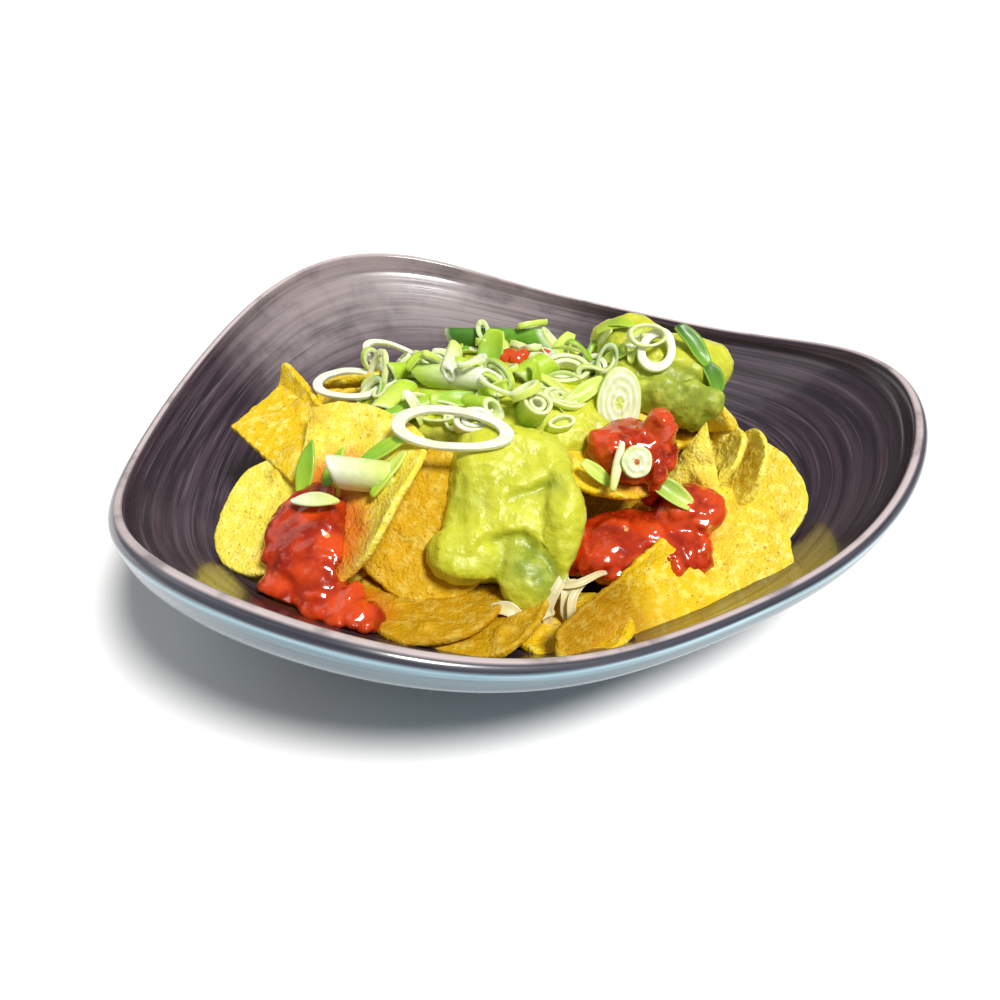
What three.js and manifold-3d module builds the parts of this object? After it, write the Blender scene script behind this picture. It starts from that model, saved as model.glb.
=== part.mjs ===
import * as THREE from 'three';
import { mergeVertices } from 'three/addons/utils/BufferGeometryUtils.js';
import Module from 'manifold-3d';

// Nachos heaped in a rounded-triangle stoneware bowl, with guacamole, salsa and spring onion.
// Millimetres, +Z up, +Y away from the diner. The origin is under the middle of the bowl.

// Bowl: three raised corners, three dipping sides, a low foot ring.
const RIM_RADIUS = 117.5;
const CORNER_REACH = 8.8;
const RIM_HEIGHT = 47;
const CORNER_RISE = 7.7;
const CORNER_PINCH = 1.6;
const FLOOR_TOP = 8;
const FLOOR_RADIUS = 30;
const WALL = 4.8;
const WALL_CURVE = 2.4;
const FOOT_RADIUS = 45;
const FOOT_WIDTH = 6;
const FOOT_RECESS = 2.5;
const BOWL_SIDES = 36;
const AXIS_X = -CORNER_REACH;

// Food
const CHIP_RADIUS = 27;
const CHIP_THICKNESS = 2.2;
const CHIP_SIDES = 12;
const ONION_WALL = 1.3;
const ONION_SIDES = 8;
const GAP = 0.5;
const SMALLEST_EDGE = 0.5;

const wasm = await Module();
wasm.setup();

const degrees = THREE.MathUtils.degToRad;

// A closed three.js geometry becomes a solid that can be joined and cut.
function solidFrom(geometry) {
  const bare = geometry.clone();
  bare.deleteAttribute('normal');
  bare.deleteAttribute('uv');
  const merged = mergeVertices(bare, 1e-4);
  const points = merged.attributes.position.array;
  const corners = [];
  let volume = 0;
  const a = new THREE.Vector3();
  const b = new THREE.Vector3();
  const c = new THREE.Vector3();
  for (let i = 0; i < merged.index.count; i += 3) {
    const [p, q, r] = [0, 1, 2].map((k) => merged.index.getX(i + k));
    if (p === q || q === r || r === p) continue;
    corners.push(p, q, r);
    a.fromArray(points, p * 3);
    b.fromArray(points, q * 3);
    c.fromArray(points, r * 3);
    volume += a.dot(b.cross(c));
  }
  if (volume < 0) {
    for (let i = 0; i < corners.length; i += 3) {
      [corners[i], corners[i + 1]] = [corners[i + 1], corners[i]];
    }
  }
  const mesh = new wasm.Mesh({
    numProp: 3,
    vertProperties: new Float32Array(points),
    triVerts: new Uint32Array(corners),
  });
  return new wasm.Manifold(mesh);
}

function geometryFrom(solid) {
  const mesh = solid.getMesh();
  const geometry = new THREE.BufferGeometry();
  geometry.setAttribute('position', new THREE.BufferAttribute(new Float32Array(mesh.vertProperties), 3));
  geometry.setIndex(new THREE.BufferAttribute(new Uint32Array(mesh.triVerts), 1));
  geometry.computeVertexNormals();
  return geometry;
}

function largest(solid) {
  const bodies = solid.decompose();
  bodies.sort((one, other) => other.volume() - one.volume());
  return bodies[0];
}

function join(solids) {
  return solids.reduce((whole, solid) => whole.add(solid));
}

function warp(geometry, move) {
  const position = geometry.attributes.position;
  const point = new THREE.Vector3();
  for (let i = 0; i < position.count; i += 1) {
    point.fromBufferAttribute(position, i);
    move(point);
    position.setXYZ(i, point.x, point.y, point.z);
  }
  return geometry;
}

// A lathe turned about +Z from (radius, height) pairs.
function turned(pairs, sides) {
  const profile = pairs.map(([radius, height]) => new THREE.Vector2(radius, height));
  return new THREE.LatheGeometry(profile, sides).rotateX(Math.PI / 2);
}

// Turns a piece by `spin`, leans it so that its top faces the azimuth `toward`, and sets it down.
function settle(geometry, { at, tilt = 0, toward = 270, spin = 0 }) {
  geometry.rotateZ(degrees(spin - toward));
  geometry.rotateY(degrees(tilt));
  geometry.rotateZ(degrees(toward));
  return geometry.translate(...at);
}

// Bowl. The round profile is pulled out and up at the corners, in and down at the sides.
function rimWave(angle) {
  return CORNER_RISE * Math.cos(3 * angle) + CORNER_PINCH * Math.cos(6 * angle);
}

function insideHeight(radius) {
  const along = Math.max(0, (radius - FLOOR_RADIUS) / (RIM_RADIUS - FLOOR_RADIUS));
  return FLOOR_TOP + (RIM_HEIGHT - FLOOR_TOP) * along ** WALL_CURVE;
}

// With `filled`, all that lies under the hollow and round it counts as bowl, as food keeps out of it.
function bowlShape(grow = 0, filled = false) {
  const lipRadius = WALL / 2 + grow;
  const wallMiddle = RIM_RADIUS - WALL / 2;
  const inside = [0, 30, 48, 64, 78, 91, 102, 108, 112.5];
  const pairs = [];
  const outside = [];
  for (const radius of inside) {
    const slope = insideHeight(radius + 0.5) - insideHeight(radius - 0.5);
    const length = Math.hypot(1, slope);
    const lift = grow / length;
    pairs.push([Math.max(0, radius - grow * slope / length), insideHeight(radius) + lift]);
    const drop = WALL + grow;
    outside.push([radius + drop * slope / length, insideHeight(radius) - drop / length]);
  }
  for (const turn of [120, 85, 45, 5]) {
    const lip = degrees(turn);
    pairs.push([wallMiddle + lipRadius * Math.cos(lip), RIM_HEIGHT - WALL / 2 + lipRadius * Math.sin(lip)]);
  }
  if (filled) {
    pairs.push([2 * RIM_RADIUS, RIM_HEIGHT]);
    pairs.push([2 * RIM_RADIUS, -RIM_HEIGHT]);
    pairs.push([0, -RIM_HEIGHT]);
  } else {
    const wall = outside.filter(([radius]) => radius > FOOT_RADIUS + 6 && radius < RIM_RADIUS - 1);
    pairs.push(...wall.reverse());
    pairs.push([FOOT_RADIUS, FOOT_RECESS + 1]);
    pairs.push([FOOT_RADIUS - 0.8, 0]);
    pairs.push([FOOT_RADIUS - FOOT_WIDTH, 0]);
    pairs.push([FOOT_RADIUS - FOOT_WIDTH - 1, FOOT_RECESS]);
    pairs.push([0, FOOT_RECESS]);
  }
  const shape = turned(pairs, BOWL_SIDES);
  warp(shape, (point) => {
    const radius = Math.hypot(point.x, point.y);
    const angle = Math.atan2(point.y, point.x);
    const share = Math.min(1, radius / RIM_RADIUS);
    const stretch = 1 + (CORNER_REACH / RIM_RADIUS) * Math.cos(3 * angle) * share;
    const climb = Math.max(0, (point.z - FLOOR_TOP) / (RIM_HEIGHT - FLOOR_TOP));
    point.x = point.x * stretch + AXIS_X;
    point.y *= stretch;
    point.z += rimWave(angle) * Math.min(1, climb);
  });
  return solidFrom(shape);
}

// Round tortilla chip, bent along a line. `curl` lifts one side of the line, `back` the other, and
// `twist` bends it less towards the far end of the line.
// `broken` lists straight broken edges: which way each faces, and how far out it lies.
function bend(across, reach, curl, crease) {
  const steps = 10;
  const step = Math.abs(across) / steps;
  let along = 0;
  let rise = 0;
  for (let i = 0; i < steps; i += 1) {
    const angle = curl * ((i + 0.5) * step / reach) ** crease;
    along += Math.cos(angle) * step;
    rise += Math.sin(angle) * step;
  }
  return { along, rise, angle: curl * (Math.abs(across) / reach) ** crease };
}

function chipShape(chip, grow = 0) {
  const { size = 1, curl = 0, back = curl, crease = 1, line = 0, cup = 0, seed = 1 } = chip;
  const { broken = [], twist = 0, sides = CHIP_SIDES } = chip;
  const reach = CHIP_RADIUS * size;
  const edge = reach + grow;
  const half = CHIP_THICKNESS / 2 + grow;
  const flat = curl === 0 && back === 0;
  const rings = sides < CHIP_SIDES ? [0] : flat ? [0, 0.6] : [0, 0.4, 0.75];
  const pairs = rings.map((share) => [edge * share, -half]);
  pairs.push([edge - 0.5, -half]);
  pairs.push([edge, 0]);
  pairs.push([edge - 0.5, half]);
  pairs.push(...rings.reverse().map((share) => [edge * share, half]));
  const shape = turned(pairs, sides);
  warp(shape, (point) => {
    const angle = Math.atan2(point.y, point.x);
    const share = Math.hypot(point.x, point.y) / edge;
    let ragged = 1 + 0.035 * Math.cos(3 * angle + seed) + 0.02 * Math.cos(5 * angle + 2 * seed);
    for (const [facing, depth] of broken) {
      const lean = Math.cos(angle - degrees(facing));
      ragged = lean > 0 ? Math.min(ragged, depth / lean) : ragged;
    }
    const offset = point.z + cup * share ** 2 + 0.9 * share ** 2 * Math.sin(2 * angle + 3 * seed);
    const across = point.y * ragged - line;
    const side = across < 0 ? -1 : 1;
    point.x *= ragged;
    const lift = degrees(side < 0 ? back : curl) * (1 - twist * point.x / reach);
    const path = bend(across, reach, lift, crease);
    point.y = side * (path.along - Math.sin(path.angle) * offset);
    point.z = path.rise + Math.cos(path.angle) * offset;
  });
  return solidFrom(settle(shape, chip));
}

// Soft lump of guacamole, salsa or the hidden middle of the heap. `boxy` squares it off.
function lumpShape(lump, grow = 0) {
  const { size, detail = 3, rough = 0.05, boxy = 0, seed = 1 } = lump;
  const shape = new THREE.IcosahedronGeometry(1, detail);
  warp(shape, (point) => {
    const swell = Math.sin(3 * point.x + seed) * Math.cos(4 * point.y + 2 * seed) * Math.sin(3 * point.z + 1);
    const corner = (point.x ** 4 + point.y ** 4 + point.z ** 4) ** -0.25;
    point.multiplyScalar((1 + rough * swell) * (1 + boxy * (corner - 1)));
    point.x *= size[0] + grow;
    point.y *= size[1] + grow;
    point.z *= size[2] + grow;
  });
  return solidFrom(settle(shape, lump));
}

// Spring onion cut across: a ring or a tube, its ends slanted, squashed to an oval.
function ringShape(ring, grow = 0) {
  const { wide, deep, tall, slant = 0, wall = ONION_WALL } = ring;
  const outer = wide / 2 + grow;
  const inner = Math.max(0.3, wide / 2 - wall - grow);
  const half = tall / 2 + grow;
  const pairs = [[inner, -half], [outer, -half], [outer, half], [inner, half], [inner, -half]];
  const shape = turned(pairs, ONION_SIDES);
  warp(shape, (point) => {
    point.z += slant * point.x;
    point.y *= (deep + 2 * grow) / (wide + 2 * grow);
  });
  return solidFrom(settle(shape, ring));
}

// Spring onion cut lengthwise, or the inside of a slice: a curved strip.
function stripShape(strip, grow = 0) {
  const { long, wide, thick = ONION_WALL, arch = 0, roll = 0 } = strip;
  const shape = new THREE.BoxGeometry(long + 2 * grow, wide + 2 * grow, thick + 2 * grow, 5, 2, 1);
  warp(shape, (point) => {
    const taper = 1 - 0.45 * (2 * point.x / long) ** 2;
    point.y *= taper;
    point.z += roll * (2 * point.y / wide) ** 2 - arch * (2 * point.x / long) ** 2;
  });
  return solidFrom(settle(shape, strip));
}

// Solid oval slice through the layered white of the onion.
function sliceShape(slice, grow = 0) {
  const { wide, deep, thick = 2.5 } = slice;
  const half = thick / 2 + grow;
  const outer = wide / 2 + grow;
  const shape = turned([[0, -half], [outer, -half], [outer, half], [0, half]], ONION_SIDES);
  warp(shape, (point) => {
    point.y *= (deep + 2 * grow) / (wide + 2 * grow);
  });
  return solidFrom(settle(shape, slice));
}

const part = new THREE.Group();
part.name = 'nachos_bowl';
const grown = [];

// Each piece is cut back to clear all the pieces set down before it.
function setDown(name, colour, make, pieces) {
  const list = Array.isArray(pieces) ? pieces : [pieces];
  let solid = join(list.map((piece) => make(piece)));
  for (const earlier of grown) {
    solid = solid.subtract(earlier);
  }
  solid = largest(solid.simplify(SMALLEST_EDGE));
  grown.push(join(list.map((piece) => make(piece, GAP))));
  const material = new THREE.MeshStandardMaterial({ color: colour, roughness: 0.7 });
  const mesh = new THREE.Mesh(geometryFrom(solid), material);
  mesh.name = name;
  part.add(mesh);
}

const bowl = new THREE.Mesh(
  geometryFrom(bowlShape()),
  new THREE.MeshStandardMaterial({ color: '#3f3138', roughness: 0.35 }),
);
bowl.name = 'bowl';
part.add(bowl);
grown.push(bowlShape(GAP, true));

// Guacamole over the top of the heap and down its front.
setDown('guacamole_main', '#c3cc4a', lumpShape, [
  { at: [-8, -10, 49], size: [44, 27, 11], tilt: 4, rough: 0.08, seed: 2 },
  { at: [-8.5, -51, 40.5], size: [17, 21.5, 10], tilt: 43, boxy: 0.8, rough: 0.08, seed: 4 },
  { at: [-19, -66, 34.5], size: [11, 8, 5.5], tilt: 43, detail: 2, seed: 5 },
  { at: [-3, -69, 31], size: [9.5, 9.5, 6.5], tilt: 40, detail: 2, seed: 6 },
  { at: [5, -59, 42], size: [5.5, 14, 7], tilt: 43, detail: 2, rough: 0.12, seed: 8 },
]);

// Chips that show, from the left round to the right.
const chips = {
  chip_left_round: { at: [-69, -53, 37], tilt: 30, toward: 225, cup: 1.5, size: 0.69, seed: 1 },
  chip_left_fold: {
    at: [-66, -16, 50], tilt: 14, toward: 210, spin: 310, line: 8,
    curl: 80, back: -4, crease: 0.15, broken: [[199, 0.6], [268, 0.48], [80, 0.44]], seed: 2,
  },
  chip_salsa_left: {
    at: [-56, -50.5, 44], tilt: 30, toward: 256, spin: 84, size: 1.02,
    curl: 3, back: 46, twist: 1.2, broken: [[90, 0.35]], seed: 3,
  },
  chip_middle: { at: [-30, -56, 39], tilt: 42, toward: 268, cup: -2, size: 0.82, seed: 4 },
  chip_lower: { at: [-28, -71, 23.5], tilt: 8, toward: 92, cup: 1, size: 0.72, seed: 5 },
  chip_front_curl: {
    at: [-17, -75, 22.5], tilt: 5, toward: 85, spin: 74, curl: 0, back: 32, size: 0.72, seed: 6,
  },
  chip_front_edge: { at: [8, -79, 21], tilt: 4, toward: 90, spin: 55, curl: 5, back: 45, size: 0.6, seed: 7 },
  chip_front_fold: {
    at: [25, -79, 23], tilt: 34, toward: 300, spin: 56, size: 1.08,
    curl: 40, back: -8, crease: 0.8, broken: [[80, 0.5], [5, 0.8]], seed: 8,
  },
  chip_right_round: { at: [47, -51, 26], tilt: 14, toward: 265, cup: 2, size: 0.88, seed: 9 },
  chip_right_back: { at: [61, -28, 28], tilt: 24, toward: 235, cup: 2, size: 0.76, seed: 10 },
  chip_right_stack: { at: [61, -24, 35], tilt: 56, toward: 182, size: 0.5, cup: 1, sides: 10, seed: 11 },
  chip_right_edge: { at: [54, -24, 38], tilt: 56, toward: 182, size: 0.44, cup: 1, sides: 10, seed: 12 },
  chip_upright: {
    at: [44, -32, 42], tilt: 60, toward: 235, spin: 55, size: 0.6, cup: -2,
    broken: [[-60, 0.4], [70, 0.28]], sides: 10, seed: 13,
  },
  chip_guacamole: {
    at: [40, -8, 43], tilt: 10, toward: 80, spin: 172, curl: 86, back: 40, crease: 0.8, size: 0.88, seed: 14,
  },
  chip_salsa_right: { at: [20, -32, 46], tilt: 20, toward: 272, size: 0.66, cup: 2, seed: 15 },
  chip_back_left: { at: [-46, 8, 48], tilt: 24, toward: 110, size: 0.8, cup: 2, seed: 16 },
};
for (const [name, chip] of Object.entries(chips)) {
  setDown(name, '#e9c53c', chipShape, chip);
}

// Bed of chips under the rest: a core with the chips of the far side fused on in two rows.
const core = { at: [-8, 8, 19], size: [58, 50, 23], detail: 2, rough: 0.03, seed: 1 };
const backRows = [
  { climb: 24, from: -6, step: 38, count: 6, lean: 18 },
  { climb: 46, from: 40, step: 42, count: 3, lean: 6 },
];
const backChips = [];
for (const { climb, from, step, count, lean } of backRows) {
  for (let i = 0; i < count; i += 1) {
    const seed = climb + i;
    const around = from + step * i + 6 * Math.sin(2 * seed);
    const out = Math.cos(degrees(climb));
    const up = Math.sin(degrees(climb));
    const at = [
      core.at[0] + core.size[0] * out * Math.cos(degrees(around)),
      core.at[1] + core.size[1] * out * Math.sin(degrees(around)),
      core.at[2] + core.size[2] * up,
    ];
    const slope = Math.atan2(out / core.size[0], up / core.size[2]);
    const tilt = slope * 180 / Math.PI - lean + 7 * Math.sin(5 * seed);
    const toward = around + 12 * Math.cos(3 * seed);
    backChips.push({ at, tilt, toward, cup: 2, size: 0.92, sides: 8, seed });
  }
}
backChips.push({ at: [38, 2, 38], tilt: 12, toward: 50, cup: 2, size: 0.95, sides: 8, seed: 30 });
function bedShape(piece, grow = 0) {
  return piece.cup === undefined ? lumpShape(piece, grow) : chipShape(piece, grow);
}
setDown('chip_bed', '#d9ad35', bedShape, [core, ...backChips]);

setDown('guacamole_right', '#c3cc4a', lumpShape, [
  { at: [38, -2, 58], size: [22, 16, 11], tilt: 6, toward: 100, detail: 2, rough: 0.1, seed: 6 },
  { at: [30, 4, 63], size: [12, 11, 8], detail: 2, rough: 0.1, seed: 7 },
]);

// Salsa: one run down the left, one on the right with a pool below it.
setDown('salsa_left', '#b3200f', lumpShape, [
  { at: [-60, -64.5, 38], size: [11.5, 16.5, 5], tilt: 29, toward: 250, detail: 2, rough: 0.15, seed: 3 },
  { at: [-65, -74, 30.5], size: [7, 7, 4], tilt: 25, toward: 250, detail: 1, rough: 0.15, seed: 4 },
  { at: [-53, -80, 28.5], size: [9, 7, 4.5], tilt: 25, toward: 260, detail: 1, rough: 0.15, seed: 5 },
  { at: [-44.5, -82.5, 27], size: [6, 5.5, 4.5], detail: 1, rough: 0.15, seed: 6 },
]);
setDown('salsa_right', '#b3200f', lumpShape, [
  { at: [26, -36, 49], size: [12, 10, 6], tilt: 25, toward: 275, detail: 2, rough: 0.15, seed: 8 },
  { at: [33, -34, 54], size: [5, 4.5, 7.5], detail: 1, rough: 0.1, seed: 9 },
  { at: [31, -46, 44], size: [2.4, 3, 9], tilt: 12, detail: 1, rough: 0.1, seed: 12 },
]);
setDown('salsa_pool', '#8f170b', lumpShape, [
  { at: [26, -55, 29], size: [22, 13, 7], tilt: 16, toward: 275, detail: 2, rough: 0.12, seed: 10 },
  { at: [41, -46, 36], size: [11, 9, 6], tilt: 20, toward: 275, detail: 1, rough: 0.12, seed: 11 },
]);

// Fine cream shreds caught in the gap under the guacamole.
setDown('shreds', '#efe6c8', stripShape, [
  { at: [0, -72, 30], long: 22, wide: 3, thick: 1.4, arch: 3, tilt: 30, toward: 270, spin: 20 },
  { at: [1, -70, 30], long: 18, wide: 3, thick: 1.4, arch: 2, tilt: 30, toward: 270, spin: 75 },
  { at: [3, -71, 30], long: 16, wide: 3, thick: 1.4, arch: 2, tilt: 30, toward: 270, spin: 130 },
]);

// Spring onion scattered over the top, the large pieces first.
const rings = {
  onion_ring_front: { at: [-24, -44, 58], wide: 31, deep: 15, tall: 2.4, tilt: 22, toward: 275, spin: -6 },
  onion_ring_left: { at: [-55, -12, 56], wide: 20, deep: 13, tall: 2.2, tilt: 20, toward: 280, spin: 8 },
  onion_loop_left: { at: [-41, -5, 60], wide: 27, deep: 12, tall: 2.2, tilt: 22, toward: 260, spin: -35 },
  onion_ring_upright: { at: [-47, -11, 58], wide: 17, deep: 9, tall: 2, tilt: 70, toward: 215, spin: 40 },
  onion_tube_left: { at: [-41, -21, 56], wide: 7, deep: 6, tall: 13, tilt: 78, toward: 60, slant: 0.5 },
  onion_tube_dark: { at: [-36, -27, 55], wide: 6, deep: 5, tall: 18, tilt: 80, toward: 25, slant: 0.5 },
  onion_tube_split: { at: [-22, -18, 61], wide: 9, deep: 7, tall: 21, tilt: 84, toward: 340, slant: 0.6 },
  onion_tube_back: { at: [-11, 12, 61], wide: 7, deep: 6, tall: 30, tilt: 86, toward: 352, slant: 0.5 },
  onion_tube_front: {
    at: [-2, -30, 58], wide: 9.5, deep: 8.5, tall: 11, tilt: 40, toward: 290, spin: 100, slant: -0.6,
  },
  onion_tube_middle: { at: [-1, -13, 62], wide: 8, deep: 7, tall: 11, tilt: 74, toward: 35, slant: 0.4 },
  onion_ring_middle: { at: [8, -11, 61], wide: 16, deep: 10, tall: 4, tilt: 30, toward: 275, spin: 10 },
  onion_ring_pale: { at: [17, -9, 60], wide: 11, deep: 8, tall: 3, tilt: 50, toward: 250, spin: 60 },
  onion_ring_hole: { at: [34, -13, 69], wide: 13, deep: 11, tall: 3, tilt: 48, toward: 265, spin: 60 },
  onion_ring_inner: { at: [-18, -38, 58], wide: 11, deep: 8, tall: 4, tilt: 35, toward: 275, spin: 0 },
  onion_tube_salsa: {
    at: [-45.5, -55.4, 51.5], wide: 10, deep: 8, tall: 17, tilt: 70, toward: 205, slant: 0.5,
  },
};
for (const [name, ring] of Object.entries(rings)) {
  setDown(name, '#a9cf5b', ringShape, ring);
}
const slices = {
  onion_slice_oval: { at: [23, -23, 57], wide: 21, deep: 12.5, tilt: 62, toward: 272, spin: 92 },
  onion_slice_round: { at: [25, -47, 52], wide: 9, deep: 8, tilt: 58, toward: 275, spin: 90 },
};
for (const [name, slice] of Object.entries(slices)) {
  setDown(name, '#e4ecc0', sliceShape, slice);
}
const strips = {
  onion_leaf_back: { at: [-13, 2, 61], long: 14, wide: 8, roll: 2, tilt: 55, toward: 250, spin: 70 },
  onion_strip_bright: { at: [9, 7, 61], long: 12, wide: 5, roll: 1, tilt: 30, toward: 270, spin: 60 },
  onion_strip_right: { at: [13, -21, 59], long: 16, wide: 5, roll: 1, tilt: 40, toward: 280, spin: 40 },
  onion_strip_thin: { at: [20, -48, 51], long: 14, wide: 2.6, tilt: 50, toward: 275, spin: 80 },
  onion_strip_salsa: { at: [15, -45, 47], long: 10, wide: 4, roll: 1, tilt: 40, toward: 275, spin: -40 },
  onion_half_right: { at: [35, -48, 43], long: 14, wide: 6, roll: 2, tilt: 40, toward: 280, spin: -30 },
  onion_leaf_right: { at: [45, -9, 69], long: 15, wide: 6, roll: 2, tilt: 40, toward: 300, spin: -45 },
  onion_leaf_edge: { at: [51, -14, 61], long: 10, wide: 6, roll: 2, tilt: 55, toward: 300, spin: -50 },
  onion_strip_left: {
    at: [-41.6, -47.3, 54.3], long: 17, wide: 4.5, roll: 1, tilt: 32, toward: 231, spin: 20,
  },
  onion_strip_low: { at: [-39.6, -55.7, 52.4], long: 15, wide: 5, roll: 1, tilt: 34, toward: 205, spin: 45 },
  onion_blade_left: { at: [-62, -49, 48], long: 18, wide: 5, roll: 1, tilt: 50, toward: 250, spin: 75 },
  onion_blade_dark: { at: [-54.3, -50.8, 50.2], long: 13, wide: 4, roll: 1, tilt: 50, toward: 240, spin: 55 },
  onion_sliver: { at: [-57.7, -61.7, 47.6], long: 13, wide: 4, roll: 1, tilt: 22, toward: 250, spin: -5 },
  onion_leaf_middle: { at: [-23, -25, 58], long: 16, wide: 5, roll: 1, tilt: 35, toward: 275, spin: 5 },
};
for (const [name, strip] of Object.entries(strips)) {
  setDown(name, '#6fae3a', stripShape, strip);
}

export default part;
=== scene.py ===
import math
import random

import bmesh
import bpy
import numpy as np
from mathutils import Matrix, Vector, noise
from mathutils.bvhtree import BVHTree


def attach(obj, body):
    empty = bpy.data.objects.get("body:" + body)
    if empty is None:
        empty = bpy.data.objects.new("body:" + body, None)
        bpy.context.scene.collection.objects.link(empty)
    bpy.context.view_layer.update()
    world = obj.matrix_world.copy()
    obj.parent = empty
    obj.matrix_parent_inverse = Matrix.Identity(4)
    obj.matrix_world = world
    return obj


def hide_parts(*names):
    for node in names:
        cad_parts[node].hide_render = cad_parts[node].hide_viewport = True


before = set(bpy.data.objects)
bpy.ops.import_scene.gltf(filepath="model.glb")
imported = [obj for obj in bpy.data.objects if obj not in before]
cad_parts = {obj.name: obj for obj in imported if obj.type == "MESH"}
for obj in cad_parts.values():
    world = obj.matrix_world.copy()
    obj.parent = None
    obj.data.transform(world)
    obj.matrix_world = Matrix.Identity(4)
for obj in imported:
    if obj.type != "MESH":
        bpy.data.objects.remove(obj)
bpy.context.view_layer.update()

# Bowl
# Stoneware thrown on a wheel, then eased into a rounded triangle with three raised corners.
# A dark glaze is brushed on round and round inside and a pale blue one outside, and both
# run thin over the lip, where the clay shows through as a pinkish line, painted paler on the
# crest as a highlight. Painted light on the glaze: paler streaks high on the back-left lobe are a
# painted reflection, the blue is painted dark navy below the lip as shade, and the film of juice
# by the left salsa is painted red-brown as the salsa's reflection too.
RIM_RADIUS = 117.5
CORNER_REACH = 8.8
RIM_HEIGHT = 47
CORNER_RISE = 7.7
CORNER_PINCH = 1.6
FLOOR_TOP = 8
FLOOR_RADIUS = 30
BOWL_WALL = 4.8
WALL_CURVE = 2.4
FOOT_RADIUS = 45
FOOT_WIDTH = 6
FOOT_RECESS = 2.5
FOOT_GAP = 6
RIM_GAP = 1
AXIS_X = -CORNER_REACH
INSIDE_RADII = [0, 15, 30, 38, 46, 53, 60, 66, 72, 78, 83, 88, 93, 98, 102, 105, 108, 110.5, 112.5]
LIP_TURNS = [130, 105, 85, 65, 45, 25, 5, -15]
THROWING_RIDGE = 0.12
THROWING_TURNS = 38
FOOD_SEAT = 2.0
SAUCE_FILM_AND_REFLECTION = {"at": np.array((-58, -82, 26)), "size": np.array((23, 12, 12))}


def inside_height(radius):
    """Height of the bowl's inner face at a radius, before its corners are raised."""
    along = max(0, (radius - FLOOR_RADIUS) / (RIM_RADIUS - FLOOR_RADIUS))
    return FLOOR_TOP + (RIM_HEIGHT - FLOOR_TOP) * along ** WALL_CURVE


def soften(line, times):
    """Cuts the corners of an open line of points."""
    for _ in range(times):
        cut = [line[0]]
        for one, other in zip(line, line[1:]):
            cut.append(one * 0.75 + other * 0.25)
            cut.append(one * 0.25 + other * 0.75)
        line = cut + [line[-1]]
    return line


def bowl_profile():
    """The wall cut through: from the middle of the floor to the lip, and from there to the foot."""
    inside = []
    outside = []
    for radius in INSIDE_RADII:
        slope = inside_height(radius + 0.5) - inside_height(radius - 0.5)
        length = math.hypot(1, slope)
        inside.append(Vector((radius, inside_height(radius))))
        reach = radius + BOWL_WALL * slope / length
        if FOOT_RADIUS + FOOT_GAP < reach < RIM_RADIUS - RIM_GAP:
            outside.append(Vector((reach, inside_height(radius) - BOWL_WALL / length)))
    middle = Vector((RIM_RADIUS - BOWL_WALL / 2, RIM_HEIGHT - BOWL_WALL / 2))
    lip = []
    for turn in LIP_TURNS:
        angle = math.radians(turn)
        lip.append(middle + BOWL_WALL / 2 * Vector((math.cos(angle), math.sin(angle))))
    foot_inside = FOOT_RADIUS - FOOT_WIDTH
    foot = [Vector(corner) for corner in (
        (FOOT_RADIUS, FOOT_RECESS + 1), (FOOT_RADIUS - 0.3, 0.4), (FOOT_RADIUS - 0.8, 0),
        (foot_inside, 0), (foot_inside - 0.6, 0.4), (foot_inside - 1, FOOT_RECESS),
        (20, FOOT_RECESS), (0, FOOT_RECESS),
    )]
    inner = soften(inside + lip[:3], 2)
    outer = soften(lip[2:] + outside[::-1] + foot, 2)
    return inner, outer[1:]


def build_piece(name, points, faces, material, marks=None):
    """Makes a mesh piece from millimetre points, with named values kept on its points."""
    mesh = bpy.data.meshes.new(name)
    mesh.from_pydata((np.asarray(points) * 0.001).tolist(), [], faces)
    for label, values in (marks or {}).items():
        values = np.asarray(values, float)
        if values.ndim == 1:
            mesh.attributes.new(label, "FLOAT", "POINT").data.foreach_set("value", values)
        elif label == "tint":
            tint = mesh.color_attributes.new(label, "FLOAT_COLOR", "POINT")
            tint.data.foreach_set("color", np.c_[values, np.ones(len(values))].ravel())
        else:
            mesh.attributes.new(label, "FLOAT_VECTOR", "POINT").data.foreach_set("vector", values.ravel())
    mesh.polygons.foreach_set("use_smooth", [True] * len(mesh.polygons))
    mesh.materials.append(material)
    piece = bpy.data.objects.new(name, mesh)
    bpy.context.collection.objects.link(piece)
    return piece


def dress(piece, node):
    """Fixes a finished piece to the part in place of a node."""
    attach(piece, "root")
    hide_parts(node)


def bands(rows, around, start=0, closed=False):
    """Four-sided faces between rows of points that run right round a piece."""
    faces = []
    for row in range(rows if closed else rows - 1):
        low = start + row * around
        high = start + (row + 1) % rows * around
        for i in range(around):
            j = (i + 1) % around
            faces.append((low + i, low + j, high + j, high + i))
    return faces


def tube_faces(rows, around):
    """Bands that are closed at the first and the last row."""
    last = (rows - 1) * around
    return bands(rows, around) + [list(range(around))[::-1], list(range(last, last + around))]


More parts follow.
